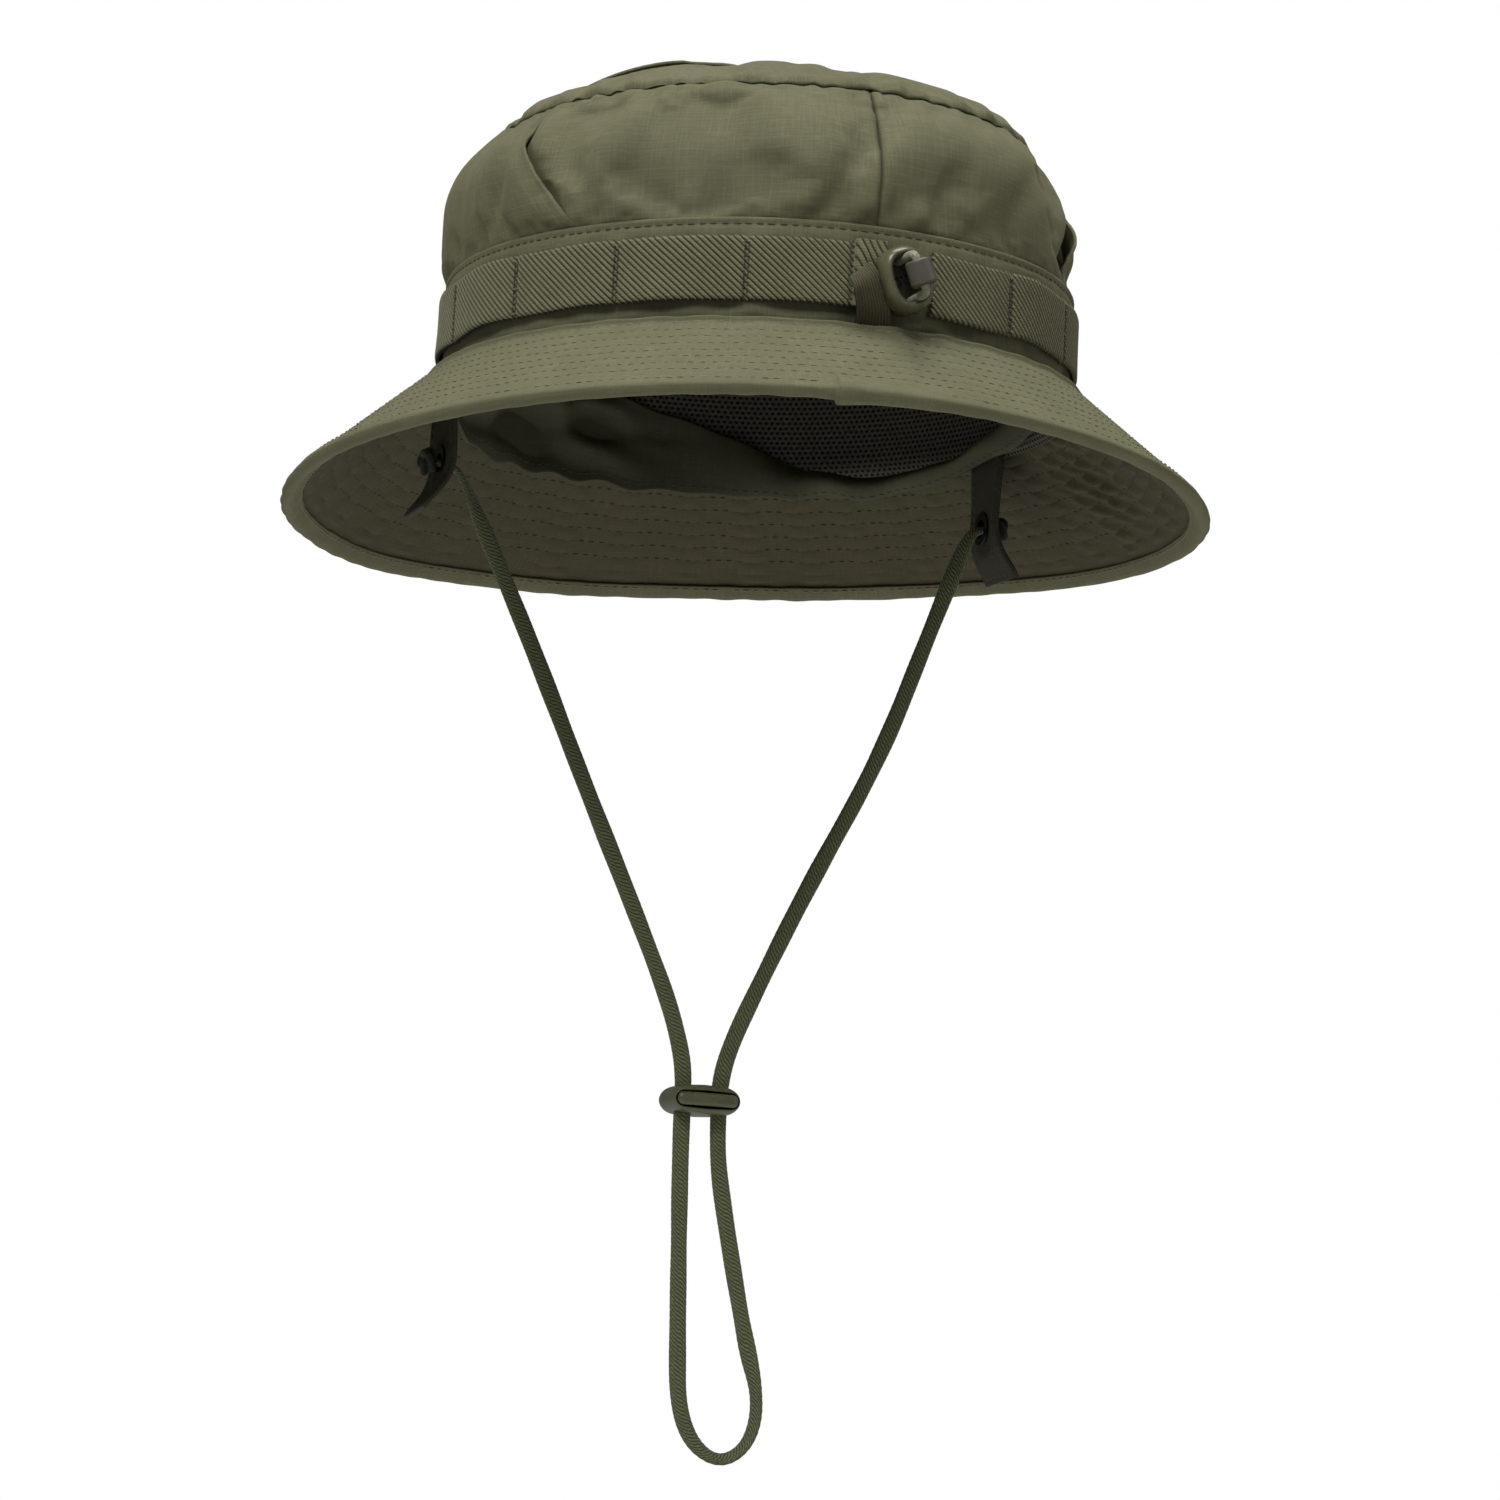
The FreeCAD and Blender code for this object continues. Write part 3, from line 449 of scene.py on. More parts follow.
def stitches(name, rows, long=2.3, pitch=3.1, thick=0.42):
    """Sewing thread: each row is (points, outward directions), and gets one small bead of thread
    at each pitch that dips into the cloth at both ends."""
    rng = np.random.default_rng(3)
    beads = []
    for points, outward in rows:
        line, reach = even(points, 0.25)
        run = lengths(points)
        normal = np.stack([np.interp(reach, run, outward[:, axis]) for axis in range(3)], -1)
        ahead = np.gradient(line, axis=0)
        count = int(reach[-1] / pitch)
        picks = ((np.arange(count) + 0.5) * pitch + rng.uniform(-0.12, 0.12, count)) / reach[-1]
        picks = np.clip((picks * (len(line) - 1)).astype(int), 0, len(line) - 1)
        beads.append((line[picks], ahead[picks], normal[picks], rng.uniform(0.88, 1.08, count)))
    centres, along, out, size = (np.concatenate(part) for part in zip(*beads))
    along = unit(along)
    across = unit(np.cross(out, along))
    out = np.cross(along, across)
    turn = np.radians(np.arange(0, 360, 60))
    radius = BEAD_THICK[:, None] * thick / 2
    a = np.repeat(BEAD_PLACE * long / 2, 6)[None] * size[:, None]
    b = (radius * np.cos(turn)).ravel()[None]
    c = (radius * np.sin(turn) + BEAD_DIP[:, None]).ravel()[None]
    points = (centres[:, None] + along[:, None] * a[..., None] + across[:, None] * b[..., None]
              + out[:, None] * c[..., None])
    ring, spoke = np.meshgrid(np.arange(6), np.arange(6), indexing="ij")
    nxt = (spoke + 1) % 6
    cell = np.stack([ring * 6 + spoke, ring * 6 + nxt, (ring + 1) * 6 + nxt, (ring + 1) * 6 + spoke], -1)
    ends = np.array([[5, 4, 1, 0], [4, 3, 2, 1], [36, 37, 40, 41], [37, 38, 39, 40]])
    cell = np.vstack([cell.reshape(-1, 4), ends])
    quads = (cell[None] + (np.arange(len(centres)) * 42)[:, None, None]).reshape(-1, 4)
    return quad_mesh(name, points.reshape(-1, 3), quads)


def sewing_row(surface, lift, sign=1.0):
    """The points of a row at this lift over a surface, and the outward direction at each."""
    points = surface(lift)
    return points, surface(lift + sign) - points


# ---------------------------------------------------------------- materials
class Nodes:
    """Short ways to add nodes to one tree."""

    def __init__(self, tree):
        self.tree = tree

    def add(self, kind, inputs=(), **settings):
        """A node with settings; inputs gives some of its sockets a number, a colour or a link."""
        node = self.tree.nodes.new(kind)
        for key, value in settings.items():
            setattr(node, key, value)
        for key, value in dict(inputs).items():
            self.feed(node.inputs[key], value)
        return node

    def feed(self, socket, value):
        if isinstance(value, bpy.types.NodeSocket):
            self.tree.links.new(value, socket)
        else:
            socket.default_value = (*value, 1.0) if isinstance(value, tuple) else value

    def math(self, operation, *values):
        return self.add("ShaderNodeMath", enumerate(values), operation=operation).outputs[0]

    def product(self, a, b):
        return self.math("MULTIPLY", a, b)

    def total(self, a, b):
        return self.math("ADD", a, b)

    def sine(self, value, pitch):
        """A wave that repeats at each pitch, in millimetres."""
        return self.math("SINE", self.product(value, 2 * math.pi / (pitch * MM)))

    def noise(self, coordinates, scale, detail=2.0, roughness=0.5):
        return self.add("ShaderNodeTexNoise", {"Vector": coordinates, "Scale": scale, "Detail": detail,
                                               "Roughness": roughness}).outputs["Fac"]

    def mix(self, factor, a, b):
        return self.add("ShaderNodeMix", {0: factor, 6: a, 7: b}, data_type="RGBA").outputs[2]

    def ramp(self, value, start, end):
        return self.add("ShaderNodeMapRange", {"Value": value, "From Min": start,
                                               "From Max": end}).outputs["Result"]

    def occlusion_shade(self, shade, deep, distance):
        """Painted shade: turns shade into deep where other surfaces stand within the distance."""
        node = self.add("ShaderNodeAmbientOcclusion", {"Distance": distance}, samples=6)
        return self.mix(self.ramp(node.outputs["AO"], 0.3, 0.92), deep, shade)

    def split(self, vector):
        return self.add("ShaderNodeSeparateXYZ", {0: vector}).outputs


class Finish(Nodes):
    """One material's nodes: place is where on the object a point is, and colour its main colour."""

    def __init__(self, name, colour):
        self.name = name
        self.material = bpy.data.materials.new(name)
        self.material.use_nodes = True
        super().__init__(self.material.node_tree)
        self.colour = colour
        self.place = self.add("ShaderNodeNewGeometry").outputs["Position"]

    def weave(self):
        """The two lengths along the cloth or the webbing."""
        return self.split(self.add("ShaderNodeUVMap", uv_map="weave").outputs["UV"])[:2]

    def tone(self, factor):
        return times(self.colour, factor)

    def speckle(self, noise, start, end, dark, pale):
        return self.mix(self.ramp(noise, start, end), self.tone(dark), self.tone(pale))

    def bump(self, height, distance, strength):
        return self.add("ShaderNodeBump", {"Height": height, "Distance": distance,
                                           "Strength": strength}).outputs["Normal"]

    def done(self, shade, normal, rough, **others):
        """Puts these on the shader, and gives the material with its name."""
        shader = self.tree.nodes["Principled BSDF"]
        sockets = {"Base Color": shade, "Normal": normal, "Roughness": rough}
        sockets.update((name.replace("_", " "), value) for name, value in others.items())
        for name, value in sockets.items():
            self.feed(shader.inputs[name], value)
        return self.name, self.material


def times(colour, factor):
    return tuple(channel * factor for channel in colour)


def streaks(n, across, along):
    """Uneven threads: noise that is fine across the threads and long along them."""
    place = n.add("ShaderNodeCombineXYZ", {0: n.product(across, 17.0), 1: n.product(along, 1.2)})
    return n.noise(place.outputs[0], 100, 2)


def cloth_material(name, colour, rip=2.6, sheen=0.18):
    """Plain-woven cloth with a ripstop grid: rip is the grid's pitch in millimetres, 0 for none."""
    thread = 0.55
    n = Finish(name, colour)
    u, v = n.weave()
    slub = n.total(n.product(streaks(n, u, v), 0.5), n.product(streaks(n, v, u), 0.5))
    height = n.product(n.product(n.sine(u, thread), n.sine(v, thread)), 0.1125)
    shade = n.speckle(n.noise(n.place, 45, 3), 0.3, 0.72, 0.86, 1.1)
    fleck = n.ramp(n.noise(n.place, 900, 2), 0.35, 0.7)
    shade = n.mix(fleck, shade, n.mix(0.5, shade, n.tone(0.8)))
    shade = n.mix(n.ramp(slub, 0.42, 0.62), n.mix(0.7, shade, n.tone(0.72)), shade)
    if rip:
        ridges = [n.math("LESS_THAN", n.math("FRACT", n.product(value, 1 / (rip * MM))), 0.14)
                  for value in (u, v)]
        lines = n.math("MAXIMUM", *ridges)
        height = n.total(height, n.product(lines, 0.12))
        broken = n.product(lines, n.ramp(slub, 0.38, 0.6))
        shade = n.mix(n.product(broken, 0.3), shade, n.tone(1.219))
    height = n.total(height, n.product(slub, 0.5))
    # painted shade: the cloth's colour is darkened down in its creases and where it is tucked under something
    shade = n.occlusion_shade(shade, n.mix(0.75, shade, n.tone(0.15)), 0.010)
    return n.done(shade, n.bump(height, 0.00036, 0.85), n.total(n.product(slub, 0.2), 0.68),
                  Specular_IOR_Level=0.2, Sheen_Weight=sheen, Sheen_Tint=n.tone(3.0))


def yarn_material(name, colour, dark):
    """Thread, and cord whose strands are in the mesh: fine fibres and darker flecks."""
    n = Finish(name, colour)
    fibre = n.noise(n.place, 1400, 3, 0.6)
    shade = n.speckle(fibre, 0.32, 0.68, dark, 1.22)
    broad = n.ramp(n.noise(n.place, 90, 2), 0.3, 0.75)
    shade = n.mix(broad, shade, n.mix(0.35, shade, n.tone(1.3)))
    return n.done(shade, n.bump(fibre, 0.00012, 0.8), 0.82, Specular_IOR_Level=0.25, Sheen_Weight=0.2)


def webbing_material(name, colour, pitch, groove_shade, cross):
    """Ribbed webbing: the ribs are in the mesh, and u counts across them. Painted shade darkens the grooves
    against paler backs, and a small cross thread shows every so often along each rib."""
    n = Finish(name, colour)
    u, v = n.weave()
    fibre = n.noise(n.place, 1500, 3, 0.6)
    rib = n.math("ABSOLUTE", n.sine(u, 2 * pitch))
    beat = n.sine(v, cross)
    shade = n.speckle(fibre, 0.32, 0.68, 0.75, 1.25)
    broad = n.ramp(n.noise(n.place, 120, 2), 0.3, 0.75)
    shade = n.mix(broad, shade, n.mix(0.4, shade, n.tone(1.3)))
    shade = n.mix(n.ramp(beat, -1.0, 0.4), n.mix(0.35, shade, n.tone(0.5)), shade)
    # painted shade: the grooves between the ribs are darkened
    shade = n.mix(n.ramp(rib, 0.12, 0.72), n.tone(groove_shade), shade)
    return n.done(shade, n.bump(n.total(n.product(beat, 0.22), fibre), 0.00016, 0.8), 0.8,
                  Specular_IOR_Level=0.25, Sheen_Weight=0.15)


def mesh_material(name, colour, pitch=1.8):
    """Knitted mesh: staggered rows of small holes, painted nearly black as painted shade for the dark inside seen
    through them.
    """
    n = Finish(name, colour)
    u, v = n.weave()
    row = n.product(v, 1 / (pitch * 0.86 * MM))
    odd = n.product(n.math("MODULO", n.math("FLOOR", row), 2.0), 0.5)
    column = n.total(n.product(u, 1 / (pitch * MM)), odd)
    a, b = (n.math("SUBTRACT", n.math("FRACT", value), 0.5) for value in (column, row))
    hole = n.ramp(n.math("SQRT", n.total(n.product(a, a), n.product(b, b))), 0.2, 0.34)
    yarn = n.speckle(n.noise(n.place, 1100, 2), 0.3, 0.7, 0.7, 1.25)
    # painted shade: the holes take 8% of the yarn's colour
    return n.done(n.mix(hole, n.tone(0.08), yarn), n.bump(hole, 0.0004, 0.9), 0.9,
                  Specular_IOR_Level=0.15)


def plastic_material(name, colour, rough):
    """Moulded plastic: a satin face with faint grain and scuffs, and painted shade in its hollows."""
    n = Finish(name, colour)
    cloud = n.noise(n.place, 180, 3)
    # painted shade: the colour goes nearly black where other surfaces stand within 5 mm
    shade = n.occlusion_shade(n.speckle(cloud, 0.3, 0.75, 0.88, 1.12), n.tone(0.08), 0.005)
    return n.done(shade, n.bump(n.noise(n.place, 1600, 2), 0.00002, 0.35),
                  n.total(n.product(cloud, 0.16), rough - 0.08))


def metal_material(name, colour, rough, metallic):
    n = Finish(name, colour)
    scratch = n.noise(n.place, 2200, 3)
    return n.done(n.speckle(scratch, 0.4, 0.8, 1.0, 1.9), n.bump(scratch, 0.00003, 0.3),
                  n.total(n.product(scratch, 0.2), rough - 0.1), Metallic=metallic)


OLIVE = (0.192, 0.186, 0.106)
BRAID_PITCH = 1.1
RIB_PITCH = 2.0
MATERIALS = dict((
    cloth_material("ripstop", OLIVE),
    # painted shade: ripstop_shade is the same ripstop as the top, painted about half as bright for the brim's underside
    cloth_material("ripstop_shade", (0.098, 0.085, 0.047), sheen=0.1),
    cloth_material("binding_tape", times(OLIVE, 0.98), rip=0),
    cloth_material("sweatband_cloth", (0.080, 0.079, 0.043), rip=0, sheen=0.1),
    cloth_material("tab_cloth", (0.062, 0.060, 0.040), rip=0, sheen=0.1),
    cloth_material("interlining", (0.16, 0.16, 0.13), rip=0),
    mesh_material("mesh_lining", (0.082, 0.078, 0.060)),
    webbing_material("elastic_webbing", (0.200, 0.196, 0.108), RIB_PITCH, 0.13, 0.8),
    webbing_material("braided_cord", (0.175, 0.190, 0.096), BRAID_PITCH, 0.1, 1.3),
    webbing_material("grosgrain", (0.088, 0.078, 0.037), 0.95, 0.25, 0.5),
    yarn_material("thread", (0.066, 0.060, 0.036), 0.7),
    # painted light and shade: thread_top is the thread painted paler, against the shadow in its dips on the brim's top
    # and binding, and thread_shade is a copy painted darker for the underside and the inside
    yarn_material("thread_top", (0.235, 0.226, 0.134), 0.85),
    yarn_material("thread_shade", (0.060, 0.052, 0.034), 0.7),
    # painted shade: the knots are the braided cord, painted nearly black for the shadow they hang in
    yarn_material("knotted_cord", (0.030, 0.033, 0.018), 0.5),
    yarn_material("shock_cord", (0.34, 0.32, 0.22), 0.55),
    plastic_material("lock_plastic", (0.122, 0.122, 0.066), 0.27),
    plastic_material("clamp_plastic", (0.096, 0.088, 0.068), 0.42),
    metal_material("eyelet_metal", (0.012, 0.012, 0.012), 0.3, 0.6),
    metal_material("spring_steel", (0.05, 0.05, 0.05), 0.45, 1.0),
))


def dress(piece, material, slot=None, body="hat", stands_for=()):
    """Material, the record's slot, the body it moves with and the CAD nodes it stands for."""
    piece.data.materials.clear()
    piece.data.materials.append(MATERIALS[material])
    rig.slot(piece, slot or material)
    if body:
        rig.ride(piece, body)
    if stands_for:
        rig.replaces(piece, *stands_for)
    return piece


def dress_node(node, material):
    """A CAD node that stays in view gets a material of its own."""
    data = frame["nodes"][node].data
    data.materials.clear()
    data.materials.append(MATERIALS[material])


def cloth(name, grid, thick, material, node, closed=False, **settings):
    """A piece of cloth or webbing over a grid, which stands for one CAD node of the hat."""
    piece = thicken(grid_mesh(name, grid, closed, **settings), thick)
    return dress(piece, material, stands_for=[node])


def sew(name, rows, material, stands_for=(), **sizes):
    return dress(stitches(name, rows, **sizes), material, slot="thread", stands_for=stands_for)


# ---------------------------------------------------------------- crown: cloth simulation
WALL_ROWS, TIP_ROWS, CROWN_COLUMNS = 26, 22, 176
TIP_HOLE = 0.03
MOST_DRIFT = 2.4
FRAMES = 20


def crown_pattern():
    """The crown before it sags: rows up the side, then rows in to the middle of the tip."""
    angle = np.arange(CROWN_COLUMNS) * 360 / CROWN_COLUMNS
    outline = spline(WALL, 400)
    run = lengths(outline)
    reach = np.linspace(0, run[-1], WALL_ROWS)
    rows = [oval(angle, np.interp(spot, run, outline[:, 1]), np.interp(spot, run, outline[:, 0]))
            for spot in reach]
    for share in np.linspace(1, TIP_HOLE, TIP_ROWS)[1:]:
        ring = oval(angle, TIP_RIM * share, RIM_LEVEL + TIP_RISE * (1 - share ** 2) ** 0.76)
        ring[:, 1] = (TIP_RIM + LENGTH_EXTRA) * share * np.sin(np.radians(angle))
        rows.append(ring)
    whole = np.array(rows)
    # it leans in on the wearer's right
    level = whole[..., 2]
    lean = 0.062 * smooth(level, 26, 40) - 0.026 * smooth(level, 52, 74)
    whole[..., 0] *= 1 - lean * (whole[..., 0] < 0)
    return whole


def simulate_crown(pattern):
    """Let the crown's cloth, cut a little large, buckle against its seams. No point moves further
    than MOST_DRIFT, and each row keeps its mean outline, so that only the folds are left."""
    start = pattern + np.random.default_rng(11).normal(0, 0.05, pattern.shape)
    form = grid_mesh("crown_form", start, closed=True)
    pins = form.vertex_groups.new(name="pins")
    columns = pattern.shape[1]
    seam = (WALL_ROWS - 1) * columns
    pins.add(list(range(3 * columns)), 1.0, "REPLACE")
    pins.add(list(range(seam, seam + columns)), 0.45, "REPLACE")
    cloth_form = form.modifiers.new("cloth", "CLOTH")
    settings = {"quality": 5, "mass": 0.12, "tension_stiffness": 25, "compression_stiffness": 14,
                "shear_stiffness": 6, "bending_stiffness": 9, "air_damping": 6, "shrink_min": -0.02,
                "use_pressure": True, "uniform_pressure_force": 0.5, "pin_stiffness": 1.2,
                "vertex_group_mass": "pins"}
    for name, value in settings.items():
        setattr(cloth_form.settings, name, value)
    cloth_form.settings.effector_weights.gravity = 0.05
    cloth_form.collision_settings.use_collision = False
    cloth_form.point_cache.frame_start = 1
    cloth_form.point_cache.frame_end = FRAMES
    for number in range(1, FRAMES + 1):
        bpy.context.scene.frame_set(number)
    result = form.evaluated_get(bpy.context.evaluated_depsgraph_get()).to_mesh()
    moved = np.zeros(len(result.vertices) * 3, np.float32)
    result.vertices.foreach_get("co", moved)
    bpy.data.objects.remove(form)
    bpy.context.scene.frame_set(1)
    drift = moved.reshape(pattern.shape).astype(float) / MM - pattern
    out = unit(np.cross(np.roll(pattern, -1, 1) - np.roll(pattern, 1, 1), np.gradient(pattern, axis=0)))
    drift = drift - out * (drift * out).sum(-1).mean(1)[:, None, None]
    far = np.linalg.norm(drift, axis=-1, keepdims=True)
    # the tip's middle lies smooth
    drift[WALL_ROWS:] *= np.linspace(1, TIP_HOLE, TIP_ROWS)[1:, None, None]
    reach = np.full((len(pattern), 1, 1), MOST_DRIFT)
    reach[WALL_ROWS - 4:] *= 0.4
    return pattern + drift * (reach * np.tanh(far / reach) / np.maximum(far, 1e-9))


crown = crown_pattern()
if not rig.quick():
    crown = simulate_crown(crown)
wall_form = Surface(crown[:WALL_ROWS])
tip_form = Surface(crown[WALL_ROWS - 1:])

# broad dents in the crown's side: angle, level, slope in degrees, half length, half width, depth
DENTS = [
    (103, 47, 38, 22, 6, 1.7), (112, 56, 30, 20, 6, -1.2), (119, 42, 40, 20, 5, 1.5),
    (97, 36, 55, 13, 4, -0.9), (131, 52, 35, 16, 5, 1.0), (80, 36, 50, 14, 4, 1.2),
    (74, 40, 40, 15, 5, -1.0), (60, 52, 5, 20, 7, 0.9), (48, 62, -10, 18, 5, 0.8),
    (44, 38, -30, 16, 5, 1.1), (34, 40, -48, 12, 4, 1.4), (16, 50, 75, 20, 3.5, 1.2),
    (10, 45, 70, 18, 3.5, -0.9), (2, 52, 72, 20, 4, 1.2), (13, 38, 55, 12, 3, 1.0),
    (-20, 50, 40, 20, 6, 1.4), (-50, 46, -35, 22, 6, 1.5), (-80, 52, 30, 24, 7, 1.3),
    (-104, 44, -40, 20, 6, 1.4), (-130, 52, 30, 22, 6, 1.2), (-165, 48, 70, 20, 4, 1.2),
]
SEAM_ANGLE = 87.5
FLAP_START = 9.0
# the vent flap's free edge, on the wearer's left: level, and angle round the hat
FLAP_EDGE = [(24, 34.5), (31.5, 31.5), (43, 24.8), (52, 20.2), (60, 18.0), (75, 17.2)]


def wall_level(share):
    """The crown's level at a share of the way up its side."""
    return WALL_FOOT + (RIM_LEVEL - WALL_FOOT) * share


def dent_depth(angle, level):
    """How far the dents push the crown's side inwards."""
    total = 0.0
    for centre, height, slope, long, wide, depth in DENTS:
        x, y = arc(apart(angle, centre), 94), level - height
        cos, sin = math.cos(math.radians(slope)), math.sin(math.radians(slope))
        total = total + depth * bell(x * cos + y * sin, long) * bell(y * cos - x * sin, wide)
    return total


def flap_edge(level):
    return np.interp(level, *zip(*FLAP_EDGE))


def wall_skin(angle, share, lift=0.0):
    """The crown's side with its dents, its seams and its puckers; lift is outwards."""
    level = wall_level(share)
    top = (1 - share) * (RIM_LEVEL - WALL_FOOT)
    depth = 0.8 * smooth(top, 0, 1.6) - dent_depth(angle, level) * smooth(top, 1, 9)
    depth = depth + 0.55 * waves(angle, 28, 46, 5) * bell(top - 4, 5) * smooth(top, 0, 2)
    depth = depth + 0.5 * waves(angle, 26, 44, 6) * bell(level - BAND_HIGH - 3, 6)
    back = arc(apart(angle, SEAM_ANGLE), 100)
    depth = depth - 0.75 * bell(back, 1.0) + 0.25 * bell(np.abs(back) - 2.6, 1.3)
    for side in (angle, 180 - angle):
        past = arc(apart(side, flap_edge(level)), 92)
        depth = depth - 2.4 * between(level, 29, 38, 46, 64) * bell(past + 1.0, 5.0)
    raised = (depth + lift * smooth(top, -0.5, 3)) * smooth(level, 26, 33)
    return wall_form.at(angle, share) + wall_form.out(angle, share) * raised[..., None]


def wall_panel(name, start, end, node):
    columns = int((end - start) / 360 * 520) + 2
    angle, share = np.meshgrid(np.linspace(start, end, columns), np.linspace(0.02, 1, 64))
    cloth(name, wall_skin(angle, share), 0.6, "ripstop", node)


def vent_flap(word, side, bulge):
    """The front panel's hemmed rear edge, which stands off the back panel as an open vent."""
    step, share = np.meshgrid(np.linspace(0, 1, 60), np.linspace(0.02, 1, 72))
    level = wall_level(share)
    angle = FLAP_START + (flap_edge(level) - FLAP_START) * step
    lift = (0.35 * smooth(step, 0.0, 0.5) + bulge * between(level, 28, 40, 46, 64) * step ** 2.2
            - 0.5 * smooth(step, 0.965, 1.0))
    grid = wall_skin(angle if side > 0 else 180 - angle, share, lift)
    cloth(f"vent_flap_{word}_cloth", grid[:, ::side], 1.0, "ripstop", f"vent_flap_{word}")


def tip_skin(angle, radius, lift=0.0):
    """The crown's top: radius runs from 0 in the middle to 1 at the seam."""
    share = np.clip((1 - radius) / (1 - TIP_HOLE), 0, 1)
    inside = np.clip(radius / TIP_HOLE, 0, 1)[..., None]
    middle = tip_form.grid[-1].mean(0)
    spot = middle + (tip_form.at(angle, share) - middle) * inside
    from_seam = (1 - radius) * (TIP_RIM + LENGTH_EXTRA / 2)
    depth = 0.9 * smooth(from_seam, 0, 1.6) + 0.25 * bell(from_seam - 1.6, 1.2)
    depth = depth + 0.5 * waves(angle, 26, 44, 8) * bell(from_seam - 4, 5) * smooth(from_seam, 0, 2)
    out = tip_form.out(angle, share) * inside + np.array([0, 0, 1.0]) * (1 - inside)
    return spot + out * (depth + lift)[..., None]


def make_crown():
    wall_panel("front_panel_cloth", 180 - FLAP_START, 360 + FLAP_START, "crown_front_panel")
    wall_panel("back_panel_left_cloth", 12.0, SEAM_ANGLE, "crown_back_panel_left")
    wall_panel("back_panel_right_cloth", SEAM_ANGLE, 168.0, "crown_back_panel_right")
    vent_flap("left", 1, 2.6)
    vent_flap("right", -1, 5.5)
    dress(thicken(disc_mesh("tip_cloth", tip_skin, 190), 0.6), "ripstop", stands_for=["crown_tip"])
    angle = np.arange(0, 360.35, 0.35)
    row = sewing_row(lambda lift: tip_skin(angle, 0.974, lift), 0.12)
    sew("tip_seam_stitching", [row], "thread", long=2.4, pitch=3.3)

    # lining: an open mesh inside the side and the top
    angle, share = np.meshgrid(np.arange(0, 360, 1.5), np.linspace(0.0, 0.985, 30))
    upper = wall_form.at(angle, share) - wall_form.out(angle, share) * 2.6
    angle, level = np.meshgrid(np.arange(0, 360, 1.5), np.linspace(-4.0, WALL_FOOT - 2, 14))
    foot = oval(angle, BAND_HALF - 2.9 + 0.9 * np.maximum(0, -level), level)
    cloth("lining_mesh", np.concatenate([foot, upper]), 0.5, "mesh_lining", "crown_lining", True)
    top = disc_mesh("tip_lining_mesh", lambda a, r: tip_skin(a, r * 0.975, -2.6), 60)
    dress(thicken(top, 0.5), "mesh_lining", stands_for=["tip_lining"])
    make_pocket()


def make_pocket():
    """A stash pocket on the wearer's left of the tip, sewn on all round but for its slanted mouth,
    which gapes a little."""
    lo, hi = low("tip_pocket"), high("tip_pocket")
    x, along = np.meshgrid(np.linspace(lo[0], hi[0], 70), np.linspace(0, 1, 90), indexing="ij")
    mouth = -5 - 0.9 * (x - 44)
    y = lo[1] + (mouth - lo[1]) * along
    flat_x, flat_y = x / TIP_RIM, y / (TIP_RIM + LENGTH_EXTRA)
    radius = np.minimum(np.hypot(flat_x, flat_y), 0.975)
    angle = np.degrees(np.arctan2(flat_y, flat_x))
    across = (x - lo[0]) / (hi[0] - lo[0])
    gape = smooth(along, 0.55, 1) ** 1.5 * np.sin(np.pi * across) ** 0.7
    border = np.minimum(np.minimum(across, 1 - across) * (hi[0] - lo[0]), y - lo[1])
    lift = 0.85 - 0.5 * bell(border, 1.6) + 5.2 * gape
    grid, out = sewing_row(lambda lift: tip_skin(angle, radius, lift), lift)
    cloth("pocket_cloth", grid, 0.9, "ripstop", "tip_pocket")
    rows = [(grid[2], out[2]), (grid[-3], out[-3]), (grid[:, 2], out[:, 2]), (grid[:, -4], out[:, -4])]
    sew("pocket_stitching", rows, "thread_top", long=2.2, pitch=3.2, thick=0.3)


# ---------------------------------------------------------------- bands round the crown
TACK_ANGLES = [65, 42, 20, -2, -24, -46, -68, -90, -112, -134, -156, -178, 160, 138, 116.5]
ELASTIC_START, ELASTIC_END = 98.3, 448.8
FOLD_ANGLE = 83.3
RIB_SLOPE, FOLD_SLOPE = 41.0, 60.0
STEPS_PER_RIB = 8


def band_sway(angle):
    """The hat's bands don't run quite level."""
    return 0.35 * waves(angle, 2, 6, 23, 4)


def band_skin(angle, level, lift=0.0):
    """The base band: soft tucks between the elastic's tacks and a lip where it meets the brim."""
    share = (level - BAND_LOW) / (BAND_HIGH - BAND_LOW)
    puff = 0.28 * waves(angle, 30, 60, 21) * np.sin(np.pi * np.clip(share, 0, 1))
    tuck = 0.4 * waves(angle, 18, 40, 22) * bell(level - 3.0, 2.0) - 1.0 * bell(level - 3.4, 2.0)
    hem = -0.35 * bell(level - (BAND_HIGH - 1.9), 0.7) - 0.25 * smooth(level, BAND_HIGH - 0.4, BAND_HIGH)
    lip = -0.5 * bell(level - BAND_LOW, 1.2)
    return (oval(angle, BAND_HALF, level + band_sway(angle))
            + oval_out(angle, BAND_HALF) * (puff + tuck + hem + lip + lift)[..., None])


def nearest_tack(angle):
    """Degrees from each angle to the nearest bar tack, and the share of the way between two."""
    tacks = np.sort(np.array(TACK_ANGLES, float) % 360)
    ring = np.concatenate([[tacks[-1] - 360], tacks, [tacks[0] + 360]])
    turned = np.asarray(angle, float) % 360
    after = np.clip(np.searchsorted(ring, turned, side="right"), 1, len(ring) - 1)
    gone, span = turned - ring[after - 1], ring[after] - ring[after - 1]
    return np.minimum(gone, span - gone), gone / span


